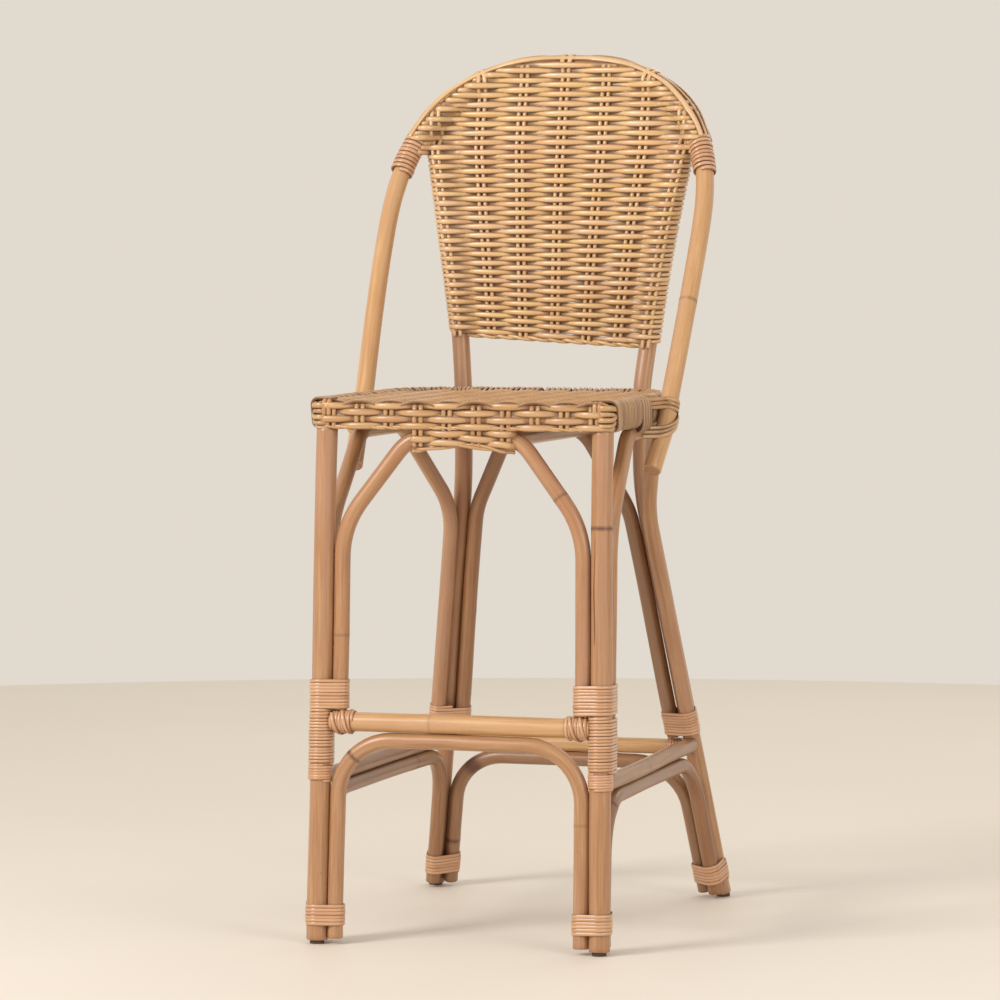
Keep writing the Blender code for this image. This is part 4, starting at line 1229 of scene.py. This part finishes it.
def make_rim():
    """Strands run along the arch, over and under the canes that lash it."""
    strands = Strands()
    reach = column_reach(SIDE_TOP_Z)
    beyond = np.clip(np.abs(RIM[:, 0]) / reach - COLUMNS, 0, None)
    drop = np.clip((RIM[:, 2].max() - RIM[:, 2]) / (RIM[:, 2].max() - RIM[:, 2].min()), 0, 1)
    column = np.abs(RIM[:, 0]) / reach + 1.2 * beyond
    for j, (crown, foot, half) in enumerate(RIM_CANES):
        angle = np.radians(between(crown, foot, drop))[:, None]
        swing = weave_swing(column + j)
        if j == 1:
            swing = np.full_like(swing, -1.0)
        lift = LOOP_RADIUS + GAP + RIM_CANE_THICK + 0.0014 * (swing + 1)
        if j == 0:
            lift = lift + 0.0018 + 0.0012 * (swing + 1)
            angle = angle - np.radians(5) * (swing[:, None] + 1)
        radial = np.cos(angle) * RIM_FRONT + np.sin(angle) * RIM_OUTWARD
        path = smooth_path(RIM + radial * lift[:, None], 2)
        strands.add(path, RIM_CANE_THICK if j != 1 else 0.0018, half * (1 + 0.06 * swing),
                    up=np.cross(RIM_TANGENT, radial), sides=10, flank=0.6,
                    shade=0.10 if j == 1 else 0.0)
    strands.object("rim_canes", [weave_wood], "weave", ["rim_braid"])


def make_bottom_border():
    strands = Strands()
    for turn in (0, math.pi):
        points = []
        for i in range(121):
            x = between(-UPRIGHT_X - 0.010, UPRIGHT_X + 0.010, i / 120)
            a = turn + x * 120
            z = BACK_LOW_Z - 0.0025 + bottom_tilt(x, BACK_LOW_Z)
            points.append((x, back_y(z) + 0.0034 * math.cos(a), z + 0.0016 * math.sin(a)))
        strands.add(points, 0.0022, 0.0026, up=UP, sides=10, flank=0.6)
    strands.object("back_border", [weave_wood], "weave")


make_back_weave()
make_stakes()
make_rim()
make_bottom_border()


# ---------------------------------------------------------------- woven seat

SEAT_COLUMN = 0.042
SEAT_COLUMNS = [k + 0.5 for k in range(-5, 5)]
SEAT_PITCH = 0.0093
SEAT_STAKE = 0.0033
SEAT_SWING = 0.0041
SEAT_THICK = 0.0025
TOP_MIDDLE = SEAT_HEIGHT - SEAT_SWING - SEAT_THICK


def seat_row_half(swing):
    return SEAT_PITCH * (0.475 + 0.06 * np.abs(swing) ** 1.2)


def make_seat_top():
    strands = Strands()
    y = SEAT_FRONT + 0.007
    r = 0
    while y < SEAT_REAR - 0.006:
        half = seat_half_width(y) - 0.006
        x = np.linspace(-half, half, max(int(half / 0.0025), 12))
        swing = -weave_swing(x / SEAT_COLUMN - 0.5 + r)
        wave = 0.0005 * np.sin(x * chance.uniform(12, 30) + chance.uniform(0, 6))
        z = TOP_MIDDLE + SEAT_SWING * swing
        path = np.stack([x, np.full_like(x, y) + wave, z], axis=1)
        tall = seat_row_half(swing)
        strands.add(path, SEAT_THICK, tall, up=vec(0, 1, 0), sides=12, lee=-swing, flank=0.75)
        y += SEAT_PITCH
        r += 1
    strands.object("seat_weavers", [seat_wood], "weave", ["seat_weave"])


def front_face_path(z, inset, reach):
    """Round the seat's front from one side to the other."""
    r = SEAT_CORNER_RADIUS
    corner_x = SEAT_FRONT_WIDTH / 2 - r
    corner_y = SEAT_FRONT + r
    size = r - inset
    right = [(corner_x + size, corner_y + reach * (1 - i / 6), z) for i in range(6)]
    right += [
        (corner_x + size * math.cos(a), corner_y + size * math.sin(a), z)
        for a in (-math.pi / 2 * i / 8 for i in range(9))
    ]
    right = np.array(right)
    return even(np.concatenate([flip(right), right[::-1]]), 0.0035)


def make_seat_front():
    strands = Strands()
    inset = SEAT_SWING + SEAT_THICK
    heights = [SEAT_HEIGHT - 0.0085 - SEAT_PITCH * i for i in range(4)]
    for r, z in enumerate(heights):
        path = front_face_path(z, inset, 0.020)
        swing = -weave_swing(path[:, 0] / SEAT_COLUMN - 0.5 + r + 1)
        corner = np.abs(path[:, 0]) > SEAT_FRONT_WIDTH / 2 - SEAT_CORNER_RADIUS
        swing[corner] = 0.4
        outward = np.cross(directions(path), UP)
        path = path + outward * (SEAT_SWING * swing)[:, None]
        path[:, 2] += 0.0005 * np.sin(path[:, 0] * chance.uniform(12, 30) + chance.uniform(0, 6))
        tall = seat_row_half(swing)
        tall[corner] = SEAT_PITCH * 0.46
        lee = np.where(corner, 0, -swing)
        strands.add(smooth_path(path, 2), SEAT_THICK, tall, up=UP, sides=12, lee=lee,
                    flank=0.75)
    for turn in (0, math.pi):
        path = front_face_path(SEAT_UNDERSIDE + 0.0005, inset - 0.001, 0.010)
        a = turn + path[:, 0] * 150
        path[:, 2] += 0.0012 * np.sin(a)
        path[:, 1] += 0.0010 * np.cos(a)
        strands.add(path, 0.0017, 0.0019, up=UP, sides=10, flank=0.4)
    strands.object("seat_front_weavers", [seat_wood], "weave")


def make_seat_stakes():
    strands = Strands()
    edge = SEAT_SWING + SEAT_THICK
    for k in SEAT_COLUMNS:
        for pair in (-1, 1):
            x = k * SEAT_COLUMN + pair * STAKE_APART
            if abs(x) > SEAT_FRONT_WIDTH / 2 - 0.008:
                continue
            rear = SEAT_REAR - edge
            while seat_half_width(rear) < abs(x) + 0.006:
                rear -= 0.002
            in_apron = abs(x) < APRON_HALF_WIDTH
            low = SEAT_UNDERSIDE - (APRON_DEPTH - 0.012 if in_apron else -0.001)
            corners = [(x, SEAT_FRONT + edge, low), (x, SEAT_FRONT + edge, TOP_MIDDLE),
                       (x, rear, TOP_MIDDLE), (x, rear, SEAT_UNDERSIDE + 0.012)]
            path = even(bent(corners, [0.006, 0.006], 5), 0.006)
            strands.add(path, SEAT_STAKE, SEAT_STAKE, sides=10, shade=0.05)
    strands.object("seat_stakes", [seat_wood], "weave")


def wrap_strand(strands, a, t, m, slant, reach, thick, wide, drop=0.0, gather=0.0):
    """One cane over the seat's edge and under the rail."""
    top = SEAT_HEIGHT + thick * 0.3
    section = [(reach, top - 0.0045), (reach - 0.006, top - 0.0005), (0.012, top),
               (0.0045, top - 0.003), (0.0020, top - 0.009), (0.0018, SEAT_UNDERSIDE + 0.010 - drop),
               (0.0035, SEAT_UNDERSIDE + 0.003 - drop), (0.009, SEAT_UNDERSIDE - 0.0005 - drop),
               (0.020, SEAT_UNDERSIDE - 0.0005 - drop * 0.5), (0.026, SEAT_UNDERSIDE + 0.004)]
    points = []
    for step, (inset, z) in enumerate(section):
        lean = between(-slant, slant + gather, step / (len(section) - 1))
        points.append(a + m * inset + t * lean + vec(0, 0, z))
    path = smooth_path(even(points, 0.0035), 2)
    # Painted shade: each wrap darkens towards its lower end under the seat's edge; the random part
    # is a tone of each strand.
    below = np.clip((SEAT_HEIGHT - 0.006 - path[:, 2]) / 0.030, 0, 1)
    strands.add(path, thick, wide, up=t, sides=10, flank=1.2,
                shade=chance.uniform(0.0, 0.26) + 0.22 * below)


def make_seat_wrap():
    """Canes turned over the seat's sides and rear, round the hoop."""
    strands = Strands()
    plan = seat_edge(0, 40)
    plan = even(np.c_[plan, np.zeros(len(plan))], 0.0080)
    tangent = directions(plan)
    inward = np.cross(UP, tangent)
    loop_y = loop_at(RAIL_Z)[1]
    for i in range(1, len(plan) - 1):
        a, t, m = plan[i], tangent[i], inward[i]
        sign = 1 if a[0] > 0 else -1
        ahead = loop_y - a[1]
        bunched = 0.030 < ahead < 0.095
        thick = (0.0026 + 0.0010 * (i % 2)) if bunched else chance.uniform(0.0029, 0.0034)
        gather = (0.060 - ahead) * -0.28 * sign if bunched else 0.0
        slant = 0.0075 * sign if abs(a[1] - SEAT_FRONT) < 0.15 else 0.004 * sign
        wrap_strand(strands, a, t, m, slant, chance.uniform(0.020, 0.030), thick,
                    0.0033 if bunched else chance.uniform(0.0030, 0.0034),
                    0.008 if bunched else 0.0, gather)
    strands.object("seat_edge_wraps", [seat_wood], "weave")


def make_seat_corners():
    """The front corners: a stake pair, then short rolls and strands that turn the corner."""
    strands = Strands()
    r = SEAT_CORNER_RADIUS
    rolls = ((0.0085, 0.0042, 0.0), (0.0168, 0.0036, 0.1), (0.0250, 0.0040, 0.0),
             (0.0330, 0.0036, 0.15))
    for side, sign in SIDES:
        x0 = SEAT_FRONT_WIDTH / 2 - r
        y0 = SEAT_FRONT + r
        for i, (drop, half_wide, shade) in enumerate(rolls):
            z = SEAT_HEIGHT - drop
            points = [(x0 - 0.0055, SEAT_FRONT + 0.0050, z)]
            for step in range(15):
                share = step / 14
                a = math.radians(between(-98, 16, share))
                size = r - 0.0012 - 0.0012 * (i % 2)
                lift = 0.006 * soft_step((share - 0.55) / 0.45) * (1 if i >= 2 else -0.4)
                points.append((x0 + size * math.cos(a), y0 + size * math.sin(a), z + lift))
            path = smooth_path(even(sided(points, sign), 0.003), 2)
            swell = 1 + 0.08 * np.sin(np.linspace(0, 5, len(path)) + i)
            strands.add(path, 0.0027, half_wide * swell, up=UP, sides=10, flank=0.85,
                        shade=shade)
        for pair in (0, 1):
            x = x0 - 0.0110 + 0.0068 * pair
            corners = [(x, SEAT_FRONT + 0.022, SEAT_HEIGHT - 0.001),
                       (x, SEAT_FRONT + 0.0028, SEAT_HEIGHT - 0.002),
                       (x, SEAT_FRONT + 0.0034, SEAT_HEIGHT - 0.021)]
            path = even(bent(corners, [0.007], 6), 0.002)
            strands.add(sided(path, sign), SEAT_STAKE, SEAT_STAKE * 0.95, sides=10, shade=0.08)
        for i in range(3):
            y = y0 + 0.002 + 0.0066 * i
            x_out = seat_half_width(y) + 0.0022
            corners = [(x_out - 0.034, y - 0.010, SEAT_HEIGHT + 0.0010),
                       (x_out, y - 0.003, SEAT_HEIGHT + 0.001),
                       (x_out, y + 0.006, SEAT_UNDERSIDE - 0.001),
                       (x_out - 0.020, y + 0.008, SEAT_UNDERSIDE - 0.001)]
            path = even(bent(corners, [0.011, 0.008], 6), 0.003)
            strands.add(sided(path, sign), 0.0022, 0.0030, up=vec(0, 1, 0), sides=10, flank=0.9,
                        shade=0.05 + 0.08 * i)
    strands.object("seat_corner_rolls", [seat_wood], "weave")


def make_seat_under():
    """The underside of the seat's weave, with painted shade between the poles."""
    strands = Strands()
    y = SEAT_FRONT + 0.03
    while y < SEAT_REAR - 0.03:
        half = seat_half_width(y) - 0.02
        path = even([(-half, y, TOP_MIDDLE - 0.0052), (half, y, TOP_MIDDLE - 0.0052)], 0.02)
        # Painted shade: the underside strands are darkened.
        strands.add(path, 0.0016, 0.0044, up=vec(0, 1, 0), sides=8, shade=0.45, flank=0.5)
        y += 0.0088
    strands.object("seat_lining", [seat_wood], "weave")


def make_apron_weave():
    strands = Strands()
    y = SEAT_FRONT + SEAT_SWING + SEAT_THICK
    for r, below in enumerate((0.0055, 0.0145, 0.0235)):
        z = SEAT_UNDERSIDE - below
        half = APRON_HALF_WIDTH - 0.001
        x = np.linspace(-half, half, 64)
        swing = -weave_swing(x / SEAT_COLUMN - 0.5 + r + 1)
        bow = 0.004 * (1 - (x / half) ** 2) * (r - 0.5)
        sag = 0.0012 * np.sin(x * 70 + r * 2)
        path = np.stack([x, y - SEAT_SWING * swing, z + bow * 0.6 + sag], axis=1)
        turned = soft_step((np.abs(x) - half + 0.008) / 0.008)
        path[:, 1] += 0.012 * turned**2
        strands.add(path, SEAT_THICK, seat_row_half(swing), up=UP, sides=12, lee=-swing,
                    flank=0.75)
    for turn in (0, math.pi):
        points = []
        for i in range(61):
            share = i / 60
            x = between(-APRON_HALF_WIDTH, APRON_HALF_WIDTH, share)
            z = SEAT_UNDERSIDE - APRON_DEPTH + APRON_ARCH * math.sin(math.pi * share) + 0.003
            a = turn + x * 60
            behind = 0.010 * soft_step((abs(x) - APRON_HALF_WIDTH + 0.016) / 0.014)
            z += 0.25 * behind
            points.append((x * 0.965, y + 0.0012 * math.cos(a) + behind, z + 0.0022 * math.sin(a)))
        strands.add(points, 0.0021, 0.0024, up=UP, sides=10, flank=0.4)
    strands.object("apron_canes", [seat_wood], "weave", ["front_apron"])


def make_loop_straps():
    """Canes from the seat's edge round the outside of the loop and back, above and below."""
    for side, sign in SIDES:
        strands = Strands()
        for level in (1, -1):
            for i in range(3):
                edge_z = RAIL_Z + level * ((0.022 if level > 0 else 0.030) - 0.0058 * i)
                far_z = RAIL_Z + level * (0.0125 - 0.0056 * i)
                size = LOOP_RADIUS + 0.0020 + (0.0016 if level < 0 else 0.0)
                y_edge = loop_at(RAIL_Z)[1] - 0.046 + 0.003 * i
                x_edge = seat_half_width(y_edge) + 0.0018
                points = [(x_edge - 0.012, y_edge - 0.004, edge_z),
                          (x_edge, y_edge + 0.004, edge_z)]
                for step in range(19):
                    share = step / 18
                    a = math.radians(between(-95, 135, share))
                    z = between(edge_z, far_z, soft_step(share / 0.7))
                    here = loop_at(z)
                    points.append((here[0] + size * math.cos(a), here[1] + size * math.sin(a), z))
                path = smooth_path(even(sided(points, sign), 0.003), 2)
                strands.add(path, 0.0017, 0.0031, up=UP, sides=10, flank=0.9,
                            shade=0.08 * i)
        name = "loop_strap_" + side
        strands.object(name + "_canes", [seat_wood], "weave", [name])


make_seat_top()
make_seat_front()
make_seat_stakes()
make_seat_wrap()
make_seat_corners()
make_seat_under()
make_apron_weave()
make_loop_straps()

glide_finish = rubber()
for side, sign in SIDES:
    for end in ("front", "rear"):
        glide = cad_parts[f"{end}_glide_{side}"]
        for slot in glide.material_slots:
            slot.material = glide_finish


# ---------------------------------------------------------------- stage

FLOOR_RADIUS = 3.6
bpy.ops.mesh.primitive_circle_add(vertices=96, radius=FLOOR_RADIUS, fill_type="NGON")
floor = bpy.context.object
floor.name = "floor"
floor.data.materials.append(floor_material())


def lamp(name, place, aim, size, power, color):
    data = bpy.data.lights.new(name, "AREA")
    data.shape = "RECTANGLE"
    data.size, data.size_y = size
    data.energy = power
    data.color = color
    made = bpy.data.objects.new(name, data)
    made.location = place
    way = np.array(aim, float) - np.array(place, float)
    made.rotation_mode = "QUATERNION"
    made.rotation_quaternion = Vector(way).to_track_quat("-Z", "Y")
    bpy.context.scene.collection.objects.link(made)


lamp("key", (-2.2, -3.0, 2.6), (0, 0, 0.7), (1.2, 1.2), 108, (1.0, 0.97, 0.93))
lamp("fill", (3.2, -2.2, 1.8), (0, 0, 0.6), (1.6, 1.6), 34, (1.0, 0.98, 0.96))
lamp("back", (0.8, 3.2, 2.8), (0, 0, 0.7), (2.4, 1.6), 20, (1.0, 0.98, 0.96))

world = bpy.data.worlds.new("studio")
world.use_nodes = True
backdrop = world.node_tree.nodes["Background"]
backdrop.inputs["Color"].default_value = (*srgb(229, 221, 210), 1)
backdrop.inputs["Strength"].default_value = 0.97
bpy.context.scene.world = world
bpy.context.scene.view_settings.view_transform = "Standard"

# Camera: 16.6 degrees round to the right, a little above the middle.
AZIMUTH, ELEVATION, DISTANCE = math.radians(16.59), math.radians(3.46), 7.0
TARGET = vec(0, -0.0809, 0.606)
back = vec(
    math.sin(AZIMUTH) * math.cos(ELEVATION), -math.cos(AZIMUTH) * math.cos(ELEVATION),
    math.sin(ELEVATION),
)
camera_data = bpy.data.cameras.new("camera")
camera_data.sensor_width = 36
camera_data.lens = 178.2
camera_data.shift_x = -0.0035
camera_data.shift_y = 0.001
camera_data.clip_end = 100
camera = bpy.data.objects.new("camera", camera_data)
camera.location = TARGET + back * DISTANCE
camera.rotation_mode = "QUATERNION"
camera.rotation_quaternion = Vector(-back).to_track_quat("-Z", "Y")
bpy.context.scene.collection.objects.link(camera)
bpy.context.scene.camera = camera
